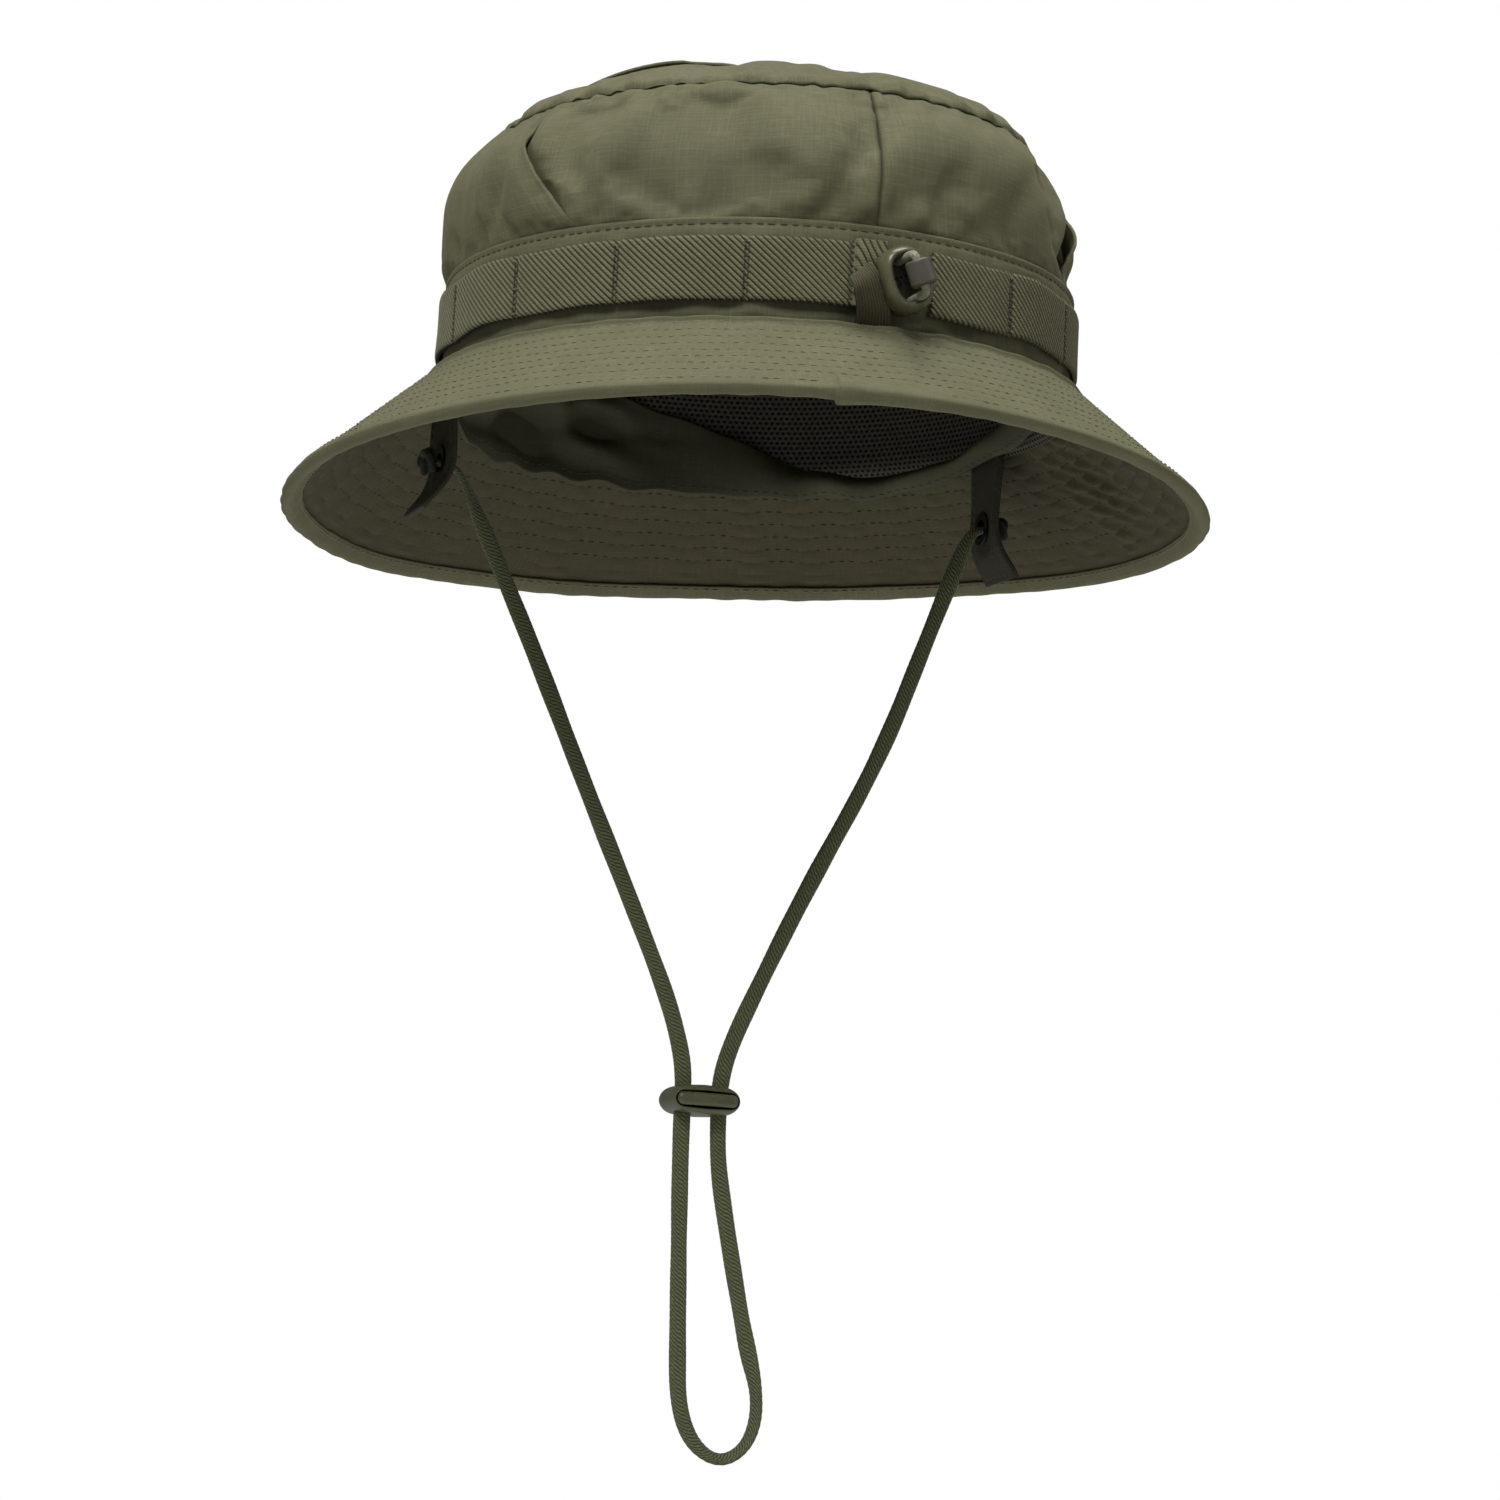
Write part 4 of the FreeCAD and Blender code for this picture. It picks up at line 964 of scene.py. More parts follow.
def elastic_skin(angle, level, lift=0.0):
    """The elastic: each loop bows out between two tacks, and its end is folded double."""
    away, share = nearest_tack(angle)
    height = (level - ELASTIC_LOW) / ELASTIC_TALL
    bow = 0.55 * np.sin(np.pi * share) * (0.75 + 0.45 * waves(angle, 6, 14, 31, 4))
    loose = 0.7 * bell(height, 0.35) * np.sin(np.pi * share) * (0.4 + 0.6 * waves(angle, 5, 12, 32, 4))
    crease = -0.75 * bell(arc(away, ELASTIC_HALF), 0.7)
    past_fold = (angle % 360) - FOLD_ANGLE
    doubled = 0.5 * smooth(past_fold, -0.2, 0.2) - 1.1 * bell((past_fold + 0.3) * 1.75, 0.6)
    height = bow + loose + crease + doubled * (angle > 360) + lift
    return (oval(angle, ELASTIC_HALF - 0.25, level + band_sway(angle) + 0.3 * waves(angle, 9, 16, 33))
            + oval_out(angle, ELASTIC_HALF) * height[..., None])


def rib_relief(turn, tall):
    """The height of ribs, below their backs: turn counts them."""
    return tall * np.sqrt(np.abs(np.sin(np.pi * turn))) - tall


def make_elastic():
    """Twill webbing: its columns follow the ribs, so each rib is real relief."""
    around = 2 * np.pi * (ELASTIC_HALF + LENGTH_EXTRA / 2)
    columns = int(around / RIB_PITCH) * STEPS_PER_RIB
    column, height = np.meshgrid(np.arange(columns + 1), np.linspace(0, 1, 24))
    up = ELASTIC_TALL * height
    slant = up / math.tan(math.radians(RIB_SLOPE))
    angle = ELASTIC_START - 12 + column / columns * 378 - slant / around * 360
    rib = rib_relief((column % STEPS_PER_RIB) / STEPS_PER_RIB, 0.6)
    selvedge = -0.25 * bell(height * 17.7, 0.5) - 0.25 * bell((height - 1.0) * 17.7, 0.5)
    grid = elastic_skin(angle, ELASTIC_LOW + up, rib + selvedge)
    middle = (angle[:-1, :-1] + angle[1:, 1:]) / 2
    keep = (middle > ELASTIC_START) & (middle < ELASTIC_END)
    weave = np.stack([column * (RIB_PITCH / STEPS_PER_RIB), up], -1)
    cloth("elastic_weave", grid, 0.9, "elastic_webbing", "elastic_band", uv=weave, keep=keep)

    # its end, turned back on itself
    first, last = 360 + FOLD_ANGLE, ELASTIC_END - 0.15
    angle, level = np.meshgrid(np.linspace(first, last, 90),
                               np.linspace(ELASTIC_LOW - 0.1, ELASTIC_HIGH + 0.7, 90))
    past = arc(angle - first, ELASTIC_HALF)
    phase = past + (level - ELASTIC_LOW) / math.tan(math.radians(FOLD_SLOPE))
    roll = np.sqrt(1 - (1 - np.clip(past / 1.6, 0, 1)) ** 2)
    slack = 0.5 * bell(past - 2.2, 1.4) + 0.4 * bell(level - ELASTIC_HIGH + 3, 5)
    grid = elastic_skin(angle, level, 1.5 * roll - 0.6 + slack + rib_relief(phase / RIB_PITCH, 0.5))
    cloth("elastic_fold", grid, 0.9, "elastic_webbing", "elastic_band", uv=np.stack([phase, level], -1))

    rows = []
    level = np.linspace(ELASTIC_LOW + 0.5, ELASTIC_HIGH - 0.5, 40)
    for centre in TACK_ANGLES:
        for shift in (-0.35, 0.35):
            angle = np.full_like(level, centre if centre > 98 else centre + 360.0) + shift
            rows.append(sewing_row(lambda lift: elastic_skin(angle, level, lift), 0.05))
    sew("bartack_stitching", rows, "thread", ["band_bartacks"], long=0.85, pitch=1.0, thick=0.5)


def make_bands():
    angle, level = np.meshgrid(np.arange(0, 360, 0.6), np.linspace(BAND_LOW - 0.4, BAND_HIGH, 60))
    cloth("base_band_cloth", band_skin(angle, level), 0.7, "ripstop", "crown_base_band", True)
    angle = np.arange(0, 360.35, 0.35)
    row = sewing_row(lambda lift: band_skin(angle, BAND_HIGH - 1.9, lift), 0.1)
    sew("band_stitching", [row], "thread", pitch=3.2)
    make_elastic()


# ---------------------------------------------------------------- brim
TOP_PUCKER, UNDER_PUCKER = 0.24, 0.8
BRIM_ROWS = [0.075 + 0.098 * step for step in range(8)]


def quilting(angle, share):
    """How high the cloth puffs up between the sewing rows, for a pucker of 1."""
    row = (share - BRIM_ROWS[0]) / (BRIM_ROWS[1] - BRIM_ROWS[0])
    slant = angle + 5.0 * share
    ripple = 1.2 * waves(slant, 30, 56, 54, 6)
    for shift, seed in ((0, 51), (1, 52), (2, 53)):
        ripple = ripple + 0.3 * waves(slant, 62, 104, seed, 6) * ((np.floor(row) % 3) == shift)
    # drag lines down and away from the right tab
    pleats = np.cos(2 * np.pi * (share * 6 + (angle - 188) / 5.5)) * bell(apart(angle, 176), 11)
    ripple = ripple + 2.0 * pleats * bell(share - 0.45, 0.35)
    busy = 0.6 + 0.35 * np.abs(waves(angle, 2, 5, 55, 3)) + 0.2 * bell(apart(angle, 184), 16)
    rise = 0.45 + 0.55 * np.sqrt(np.abs(np.sin(np.pi * row)))
    return np.clip(0.62 + 0.62 * ripple, 0, 2.2) * rise * busy * (1 - smooth(share, 0.9, 0.95))


def brim_skin(angle, share, depth=0.0, lift=0.0, pucker=0.0, seam=0.0):
    """The brim from its seam (share 0) to its edge (1). depth is level and inwards, as the layers
    lie; lift is along the outward normal, pucker is the height of the quilting between rows, and seam
    that of the turned edge along the crown."""
    angle, share = np.broadcast_arrays(np.asarray(angle, float), np.asarray(share, float))
    half = BRIM_TOP_HALF + (BRIM_EDGE_HALF - BRIM_TOP_HALF) * share - depth
    long = (BRIM_TOP_HALF + LENGTH_EXTRA
            + (BRIM_EDGE_LENGTH - BRIM_TOP_HALF - LENGTH_EXTRA) * share - depth)
    turn = np.radians(angle)
    # the edge rides up at the back and sinks in front
    sway = (-0.25 - 0.5 * np.cos(turn) + 3.8 * np.sin(turn) - 1.2 * np.cos(2 * turn)
            + 2.6 * np.sin(2 * turn) + 0.5 * np.cos(3 * turn) - 0.3 * np.sin(3 * turn)
            + 2.2 * bell(apart(angle, 270), 48))
    wave = sway * np.maximum(share, 0) ** 1.4 + 0.15 * waves(angle, 7, 12, 42, 5) * share
    spot = stack(half * np.cos(turn), long * np.sin(turn) + BRIM_SHIFT * share, wave - BRIM_DROP * share)
    slope = math.atan2(BRIM_EDGE_HALF - BRIM_TOP_HALF, BRIM_DROP)
    out = unit(stack(np.cos(turn) / half, np.sin(turn) / long, 0.0))
    normal = out * math.cos(slope) + np.array([0, 0, math.sin(slope)])
    height = lift + seam * (bell(share - 0.046, 0.014) - 2.4 * bell(share - 0.006, 0.021))
    if pucker:
        height = height + pucker * quilting(angle, share)
    return spot + normal * np.asarray(height)[..., None]


def brim_row(share, lift, sign, depth=0.0, pucker=0.0):
    angle = np.arange(0, 360.2, 0.3)
    return sewing_row(lambda lift: brim_skin(angle, share, depth, lift, pucker), lift, sign)


def make_brim():
    angle, share = np.meshgrid(np.arange(0, 360, 0.4), np.linspace(-0.01, 1.0, 150))
    top = brim_skin(angle, share, pucker=TOP_PUCKER, seam=1.1)
    cloth("brim_top_cloth", top[::-1], 0.5, "ripstop", "brim_top", True)
    under = brim_skin(angle, share, depth=BRIM_DEPTH, pucker=-UNDER_PUCKER)
    # painted shade: the underside takes the darkened copy of the top's ripstop
    cloth("brim_under_cloth", under, 0.5, "ripstop_shade", "brim_underside", True)
    angle, share = np.meshgrid(np.arange(0, 360, 2.0), np.linspace(0.08, 0.985, 20))
    stiffener = brim_skin(angle, share, depth=BRIM_DEPTH / 2 - 0.4)
    cloth("brim_stiffener", stiffener[::-1], 0.8, "interlining", "brim_interlining", True)
    rows = [brim_row(share, 0.1, 1.0, 0.0, TOP_PUCKER) for share in BRIM_ROWS]
    sew("brim_stitching_top", rows, "thread_top", long=2.2, pitch=3.3, thick=0.26)
    rows = [brim_row(share, -0.1, -1.0, BRIM_DEPTH, -UNDER_PUCKER) for share in BRIM_ROWS]
    sew("brim_stitching_under", rows, "thread_shade", long=2.1, pitch=3.3, thick=0.3)
    make_binding()


# the binding's section: how far in from the brim's edge, and how far out from its top face
BINDING = [(5.0, -0.15), (4.9, 0.35), (3.6, 0.62), (1.8, 0.72), (0.3, 0.7), (-0.75, 0.25),
           (-1.15, -0.75), (-1.1, -1.9), (-0.6, -2.9), (0.6, -3.35), (2.2, -3.35), (3.6, -3.2),
           (4.5, -2.95), (4.6, -2.4)]
BINDING_MIDDLE = np.array([2.2, -1.3])
OVERLAP_ANGLE = 77.4


def make_binding():
    """A strip folded over the edge, its end lapped over its start near the back."""
    angle = np.arange(0, 360, 0.35)
    past = (angle - OVERLAP_ANGLE) % 360
    grow = (1.5 * (1 - 0.55 * smooth(past, 1.0, 5.0) - 0.45 * smooth(past, 5, 16))
            + 0.09 * waves(angle, 50, 90, 61) + 0.08 * waves(angle, 20, 40, 62))
    rings = []
    for spot in spline(BINDING, 52):
        away = unit(spot - BINDING_MIDDLE)
        share = 1 - (spot[0] + away[0] * grow) / BRIM_SLANT
        rings.append(brim_skin(angle, share, lift=spot[1] + away[1] * grow))
    cloth("binding_cloth", np.array(rings)[::-1], 0.5, "binding_tape", "brim_binding", True)
    rows = [brim_row(1 - 3.9 / BRIM_SLANT, 0.66, 1.0), brim_row(1 - 3.6 / BRIM_SLANT, -3.3, -1.0)]
    sew("binding_stitching", rows, "thread_top", pitch=3.2, thick=0.36)


# ---------------------------------------------------------------- inside: sweatband and tabs
# the sweatband's lower and upper edge, angle by angle: it has slipped down and turned out in front
SWEAT_LOW = [(0, -4), (150, -3), (180, -4), (196, -7.5), (206, -10.5), (218, -12.5), (235, -11.5),
             (258, -11), (290, -11.5), (316, -13), (330, -9), (345, -5), (360, -4)]
SWEAT_HIGH = [(0, 20), (150, 20), (180, 8), (196, -1.5), (209, -5.0), (225, -5.5), (236, -2.5),
              (250, 6), (262, 12), (275, 16), (300, 20), (360, 20)]


def make_sweatband():
    angle, share = np.meshgrid(np.arange(0, 360, 0.8), np.linspace(0, 1, 60))
    bottom, top = np.interp(angle, *zip(*SWEAT_LOW)), np.interp(angle, *zip(*SWEAT_HIGH))
    short = 1 - np.clip((top - bottom) / 24.0, 0, 1)
    # folds: slack cloth leans in, most where the band has turned out, with drag lines from one tab
    lean = 2.0 + 7.0 * short * np.sin(np.pi * share) ** 0.8
    fan = np.cos((share * 3.2 + 0.8) * (angle - 322) * 0.08) * between(angle, 262, 300, 318, 330)
    ridge = share - 0.35 - (336 - angle) / 56 * 0.5
    folds = (1.1 * waves(angle, 10, 26, 71) * (0.3 + share) + 3.6 * fan * np.sin(np.pi * share)
             + 4.5 * bell(ridge, 0.14) * between(angle, 270, 288, 328, 340)
             - 2.0 * bell(ridge + 0.27, 0.12) * between(angle, 255, 280, 328, 340))
    inward = np.clip(lean + folds, 0.4, 16)
    hem = 0.8 * waves(angle, 14, 30, 72) * (1 - share) ** 3
    grid = oval(angle, SWEAT_HALF - 0.2 - inward, bottom + (top - bottom) * share + hem)
    cloth("sweatband_cloth", grid[::-1], 1.1, "sweatband_cloth", "sweatband", True)
    rows = [(grid[5], -oval_out(angle[5], SWEAT_HALF))]
    sew("sweatband_stitching", rows, "thread_shade", pitch=3.2, thick=0.36)


EYELET = centre_of("chin_eyelet_left")
TAB_TOP = high("chin_tab_left")[2] + 3.0
TAB_LONG = TAB_TOP - low("chin_tab_left")[2]
TAB_HALF = (high("chin_tab_left")[1] - low("chin_tab_left")[1]) / 2
TAB_HOLE = 3.5
TAB_KICK = {1: 8.0, -1: 7.0}


def tab_point(side, across, down):
    """A tab's middle face: across is along Y from its centre, down from its top end."""
    kick = TAB_KICK[side] * smooth(down, 24.0, 46.0) ** 1.2
    cup = 0.25 * (across / 10) ** 2 + 0.4 * np.sin(down / 7.0 + across / 9.0)
    near_eyelet = smooth(np.hypot(across, down + EYELET[2] - TAB_TOP), 5.5, 9.0)
    return stack(side * (EYELET[0] + kick + (cup - 0.2) * near_eyelet),
                 EYELET[1] + across - side * 0.10 * kick,
                 TAB_TOP - down + 0.3 * kick * smooth(down, 30, 42))


def make_tab(side, word):
    """Doubled cloth with a hole for the eyelet: rings of points from the hole out to the outline."""
    turn = np.radians(np.arange(0, 360, 5.0))
    cos, sin = np.cos(turn), np.sin(turn)
    middle = TAB_TOP - EYELET[2]
    to_side = TAB_HALF / np.maximum(np.abs(cos), 1e-9)
    to_end = np.where(sin > 0, TAB_LONG - middle, middle) / np.maximum(np.abs(sin), 1e-9)
    share = np.linspace(0, 1, 26)[:, None] ** 1.1
    radius = TAB_HOLE + (np.minimum(to_side, to_end) - TAB_HOLE) * share
    grid = tab_point(side, radius * cos, middle + radius * sin)
    piece = grid_mesh(f"chin_tab_{word}_cloth", grid[:, ::side], closed=True)
    dress(thicken(piece, 1.5, 0.0), "tab_cloth", stands_for=[f"chin_tab_{word}"])
    inner, foot = TAB_HALF - 1.7, TAB_LONG - 1.8
    lines = [(edge * inner, np.linspace(3, foot, 60)) for edge in (-1, 1)]
    lines.append((np.linspace(-inner, inner, 30), foot))
    rows = [(points + [face * 0.78, 0, 0], np.broadcast_to([face, 0, 0.0], points.shape))
            for face in (1.0, -1.0) for points in (tab_point(side, *line) for line in lines)]
    sew(f"chin_tab_{word}_stitching", rows, "thread_shade", long=2.2, pitch=3.0, thick=0.4)
    dress_node(f"chin_eyelet_{word}", "eyelet_metal")


# ---------------------------------------------------------------- cords, in metres
CORD_Y = -0.025
EYELET_LEVEL = -0.0256
LOCK_LEVEL = -0.203
LOCK_LEFT, LOCK_RIGHT = 0.0016, -0.0096
CORD_WIDTH, CORD_THICK = 0.005, 0.002
LEFT_STRAND = [
    (0.0876, CORD_Y, EYELET_LEVEL), (0.0818, CORD_Y, -0.0258), (0.0780, CORD_Y, -0.0303),
    (0.0742, CORD_Y, -0.0385), (0.0658, CORD_Y, -0.0545), (0.0536, CORD_Y, -0.0785),
    (0.0366, CORD_Y, -0.1145), (0.0182, CORD_Y, -0.1520), (0.0076, CORD_Y, -0.1745),
    (0.0028, CORD_Y, -0.1890), (LOCK_LEFT, CORD_Y, -0.1975), (LOCK_LEFT, CORD_Y, LOCK_LEVEL),
]
RIGHT_STRAND = [
    (-0.0876, CORD_Y, EYELET_LEVEL), (-0.0820, CORD_Y, -0.0258), (-0.0790, CORD_Y, -0.0310),
    (-0.0752, CORD_Y, -0.0415), (-0.0682, CORD_Y, -0.0605), (-0.0548, CORD_Y, -0.0980),
    (-0.0336, CORD_Y, -0.1388), (-0.0192, CORD_Y, -0.1702), (-0.0124, CORD_Y, -0.1860),
    (LOCK_RIGHT, CORD_Y, -0.1968), (LOCK_RIGHT, CORD_Y, LOCK_LEVEL),
]
LOOP = [
    (LOCK_LEFT, CORD_Y, LOCK_LEVEL), (LOCK_LEFT, CORD_Y, -0.2100), (0.0012, CORD_Y, -0.2260),
    (0.0004, CORD_Y, -0.2470), (-0.0006, CORD_Y, -0.2720), (-0.0016, CORD_Y, -0.2905),
    (-0.0065, CORD_Y, -0.3015), (-0.0155, CORD_Y, -0.3065), (-0.0240, CORD_Y, -0.3010),
    (-0.0266, CORD_Y, -0.2885), (-0.0214, CORD_Y, -0.2710), (-0.0174, CORD_Y, -0.2545),
    (-0.0132, CORD_Y, -0.2360), (-0.0104, CORD_Y, -0.2220), (LOCK_RIGHT, CORD_Y, -0.2105),
    (LOCK_RIGHT, CORD_Y, LOCK_LEVEL),
]
BRAID_STEPS = 40


def cord_line(points):
    """The line that a cord follows: a smooth spline over its route's points, in metres."""
    curve = bpy.data.curves.new("route", "CURVE")
    curve.dimensions = "3D"
    curve.resolution_u = 24
    route = curve.splines.new("NURBS")
    route.points.add(len(points) - 1)
    for point, place in zip(route.points, points):
        point.co = (*place, 1.0)
    route.order_u = 3
    route.use_endpoint_u = True
    holder = place_object("route", curve)
    mesh = bpy.data.meshes.new_from_object(holder)
    line = np.array([vertex.co for vertex in mesh.vertices], float)
    bpy.data.objects.remove(holder)
    bpy.data.meshes.remove(mesh)
    return line


def braid(name, points, twist):
    """A flat braid along a route. twist gives the turn of its width, in degrees, at each length."""
    line, reach = even(cord_line(points) / MM, 0.32)
    level = np.array([0, 1.0, 0])
    flat = np.cross(unit(np.gradient(line, axis=0)), level)
    angle = np.radians(twist(reach / reach[-1]))[:, None]
    wide = CORD_WIDTH / MM * 0.98 * (1 + 0.03 * np.sin(reach / 9.0) + 0.02 * np.sin(reach / 3.7))
    grid = tube_grid(line, wide, CORD_THICK / MM, flat * np.cos(angle) + level * np.sin(angle),
                     BRAID_STEPS, 2.6)
    ring = np.linalg.norm(np.diff(grid, axis=1, append=grid[:, :1]), axis=2).mean(0)
    around, pitch = np.cumsum(ring) - ring, ring.sum() / 9
    s = reach[:, None]
    one, two = (np.abs(np.sin(np.pi * (0.62 * s + way * around) / pitch)) ** 0.7 for way in (1, -1))
    strand = stack(0.9 * s + np.arange(BRAID_STEPS + 1) * BRAID_PITCH * 12 / BRAID_STEPS, s, 0.0)
    grid = swell(grid, line, 0.14 * one + 0.06 * two - 0.12)
    return grid_mesh(name, grid, closed=True, uv=strand[..., :2]), line * MM, reach[-1] * MM


def knot(word):
    """The cord's end, tied in an overhand knot behind its eyelet."""
    turn = np.linspace(0, 2 * np.pi, 150, endpoint=False)
    spread = 1.75 + 0.95 * np.cos(3 * turn)
    line = stack(0.95 * np.sin(3 * turn), spread * np.cos(2 * turn), spread * np.sin(2 * turn))
    ahead = np.roll(line, -1, 0) - np.roll(line, 1, 0)
    grid = tube_grid(line, 3.4, 1.9, np.cross(ahead, np.cross(line, ahead)), 16, 2.4)
    relief = 0.1 * np.abs(np.sin(np.arange(150)[:, None] * 0.55 + np.arange(16) * np.pi / 4))
    grid = swell(grid, line, relief) + centre_of(f"cord_knot_{word}")
    piece = grid_mesh(f"knot_{word}_braid", grid, closed=True, closed_rows=True)
    # painted shade: the knot is the braided cord painted nearly black
    return dress(piece, "knotted_cord", slot="braided_cord", body="chin_cord",
                 stands_for=[f"cord_knot_{word}"])


def make_cords():
    strands = {}
    for word, points, side in (("left", LEFT_STRAND, 1), ("right", RIGHT_STRAND, -1)):
        piece, line, length = braid(f"cord_{word}_braid", points,
                                    lambda share: 75 * (1 - smooth(share, 0.02, 0.16)) * side)
        dress(piece, "braided_cord", body=None, stands_for=[f"chin_cord_{word}"])
        top = Vector((0, CORD_Y, EYELET_LEVEL - 0.004))
        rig.blend(piece, "chin_cord", "chin_lock", start=top, end=(0, CORD_Y, -0.1985))
        strands[word] = (piece, line, length)
    loop, line, length = braid("cord_loop_braid", LOOP,
                               lambda share: 74 * between(share, 0.40, 0.55, 0.60, 0.72))
    dress(loop, "braided_cord", body=None, stands_for=["chin_cord_loop"])
    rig.blend(loop, "chin_lock", "chin_cord", start=(0, CORD_Y, -0.2075), end=(0, CORD_Y, -0.3050))
    knots = {word: knot(word) for word in strands}
    nodes = frame["nodes"]
    for word, (piece, path, total) in strands.items():
        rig.cord(piece, exit=path[0], length=round(total, 4), diameter=CORD_WIDTH, far_end="object",
                stiffness="limp", lay="hanging", path=path, with_pieces=[knots[word]])
    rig.cord(loop, exit=line[0], length=round(length, 4), diameter=CORD_WIDTH, far_end="object",
            stiffness="limp", lay="hanging", path=line, with_pieces=[
                nodes["chin_lock_body"], nodes["chin_lock_plunger"], nodes["chin_lock_spring"]])


# ---------------------------------------------------------------- locks, shock cord and tape
PRESS_AXIS = {"chin": np.array([0, -1.0, 0]), "rear": np.array([0.92718, 0, -0.37461])}
LOCK_TRAVEL = 2.2
LOCK_TILT = math.radians(22.0)
REAR_LONG = np.array([math.sin(LOCK_TILT), 0, math.cos(LOCK_TILT)])
REAR_WIDE = np.array([-math.cos(LOCK_TILT), 0, math.sin(LOCK_TILT)])
REAR_HALF_LONG, REAR_HALF_WIDE = 9.3, 7.0
OVAL_TURN = np.radians(np.arange(0, 360, 3.0))
# the locks' sections: how far back from the mouth, and how far in from the outline
CHIN_LOCK = [(14, 4.0), (14, 1.6), (13.3, 0.6), (12, 0.1), (8, 0.0), (3.4, 0.0), (1.4, 0.35),
             (0.4, 1.0), (0.0, 1.7), (0.4, 2.1), (1.4, 2.25), (5.6, 2.3), (6.2, 2.7), (6.3, 4.2)]
REAR_LOCK = [(9.0, 5.0), (9.0, 1.4), (8.5, 0.45), (7.4, 0.0), (3.6, 0.0), (1.6, 0.35), (0.45, 1.1),
             (0.0, 1.9), (0.5, 2.6), (1.6, 3.0), (6.6, 3.2), (7.2, 3.7), (7.3, 5.2)]


def make_spring(word, body, one):
    """The spring behind a plunger: it shortens as the plunger goes in."""
    axis = PRESS_AXIS[word]
    wide, long, _ = high("chin_lock_spring") - low("chin_lock_spring")
    turn = np.linspace(0, 2 * np.pi * 5, 160)[:, None]
    centre = centre_of(f"{word}_lock_spring")
    line = (centre + axis * np.linspace(0.3 - long / 2, long / 2 - 0.3, 160)[:, None]
            + (wide / 2 - 0.2) * (one * np.cos(turn) + np.cross(axis, one) * np.sin(turn)))
    piece = grid_mesh(f"{word}_spring_wire", tube_grid(line, 0.4, 0.4, axis, 8), closed=True)
    dress(piece, "spring_steel", body=body, stands_for=[f"{word}_lock_spring"])
    anchor = centre + axis * long / 2
    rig.squash(piece, f"{word}_lock_press", axis=tuple(axis), anchor=tuple(anchor * MM),
              keep=1 - LOCK_TRAVEL / long)


def oval_block(half, section, round_by, end_share=1.0, waist=0.0):
    """A closed shell with rounded ends about the origin: long along X, its front towards +Y. section
    gives how far back from the front and how far in from the outline each ring lies; end_share is
    the share of that inset at the ends, and waist how much slimmer the ends are than the middle."""
    cos, sin = np.cos(OVAL_TURN), np.sin(OVAL_TURN)
    rings = []
    for back, inset in section:
        radius = max(min(round_by, half[2] - inset), 0.05)
        x = np.sign(np.round(cos, 6)) * max(half[0] - inset * end_share - radius, 0) + radius * cos
        z = np.sign(np.round(sin, 6)) * max(half[2] - inset - radius, 0) + radius * sin
        slim = 1 - waist * (1 - bell(x, half[0] * 0.55))
        rings.append(stack(x, half[1] - back, z * slim))
    return capped(rings)[:, ::-1]


def plunger_face(half, deep, straight):
    """The front of a plunger, with a rounded edge round a flat face."""
    section = spline([(deep, 1.8), (deep, 0.1), (straight, 0.0), (1.1, 0.05), (0.35, 0.35),
                      (0.0, 0.95), (0.0, 1.8)], 50)
    return oval_block(half, section, 1.75)


def lock_piece(name, grid, body, node):
    dress(grid_mesh(name, grid, closed=True), "lock_plastic", body=body, stands_for=[node])


def make_chin_lock():
    """The lock's round-ended body, and the plunger's face standing proud of its mouth."""
    half = (high("chin_lock_body") - low("chin_lock_body")) / 2
    body = oval_block(half, spline(CHIN_LOCK, 80), 4.6, 0.4, 0.12)
    lock_piece("chin_lock_shell", centre_of("chin_lock_body") + body, "chin_lock", "chin_lock_body")
    half = (high("chin_lock_plunger") - low("chin_lock_plunger")) / 2
    lock_piece("chin_plunger_face", centre_of("chin_lock_plunger") + plunger_face(half, 3.9, 2.4),
               "chin_plunger", "chin_lock_plunger")


def make_rear_lock():
    """An oval shell with a rounded rim round a deep mouth, where both cords come out."""
    centre = centre_of("rear_lock_body")
    long, wide = (np.sign(wave) * np.abs(wave) ** 0.8 for wave in (np.cos(OVAL_TURN), np.sin(OVAL_TURN)))
    rings = []
    for back, inset in spline(REAR_LOCK, 70):
        ring = (centre + REAR_LONG * ((REAR_HALF_LONG - inset) * long)[:, None]
                + REAR_WIDE * (max(REAR_HALF_WIDE - inset, 0.6) * wide)[:, None])
        ring[:, 1] = high("rear_lock_body")[1] - back
        rings.append(ring)
    lock_piece("rear_lock_shell", capped(rings)[:, ::-1], "hat", "rear_lock_body")
    block = plunger_face((5.0, 1.05, 1.9), 2.1, 1.7)
    pressed = PRESS_AXIS["rear"]
    face = (centre - pressed * 7.35 + block[..., :1] * REAR_LONG - block[..., 1:2] * pressed
            - block[..., 2:] * np.array([0, 1.0, 0]))
    lock_piece("rear_plunger_face", face, "rear_plunger", "rear_lock_plunger")


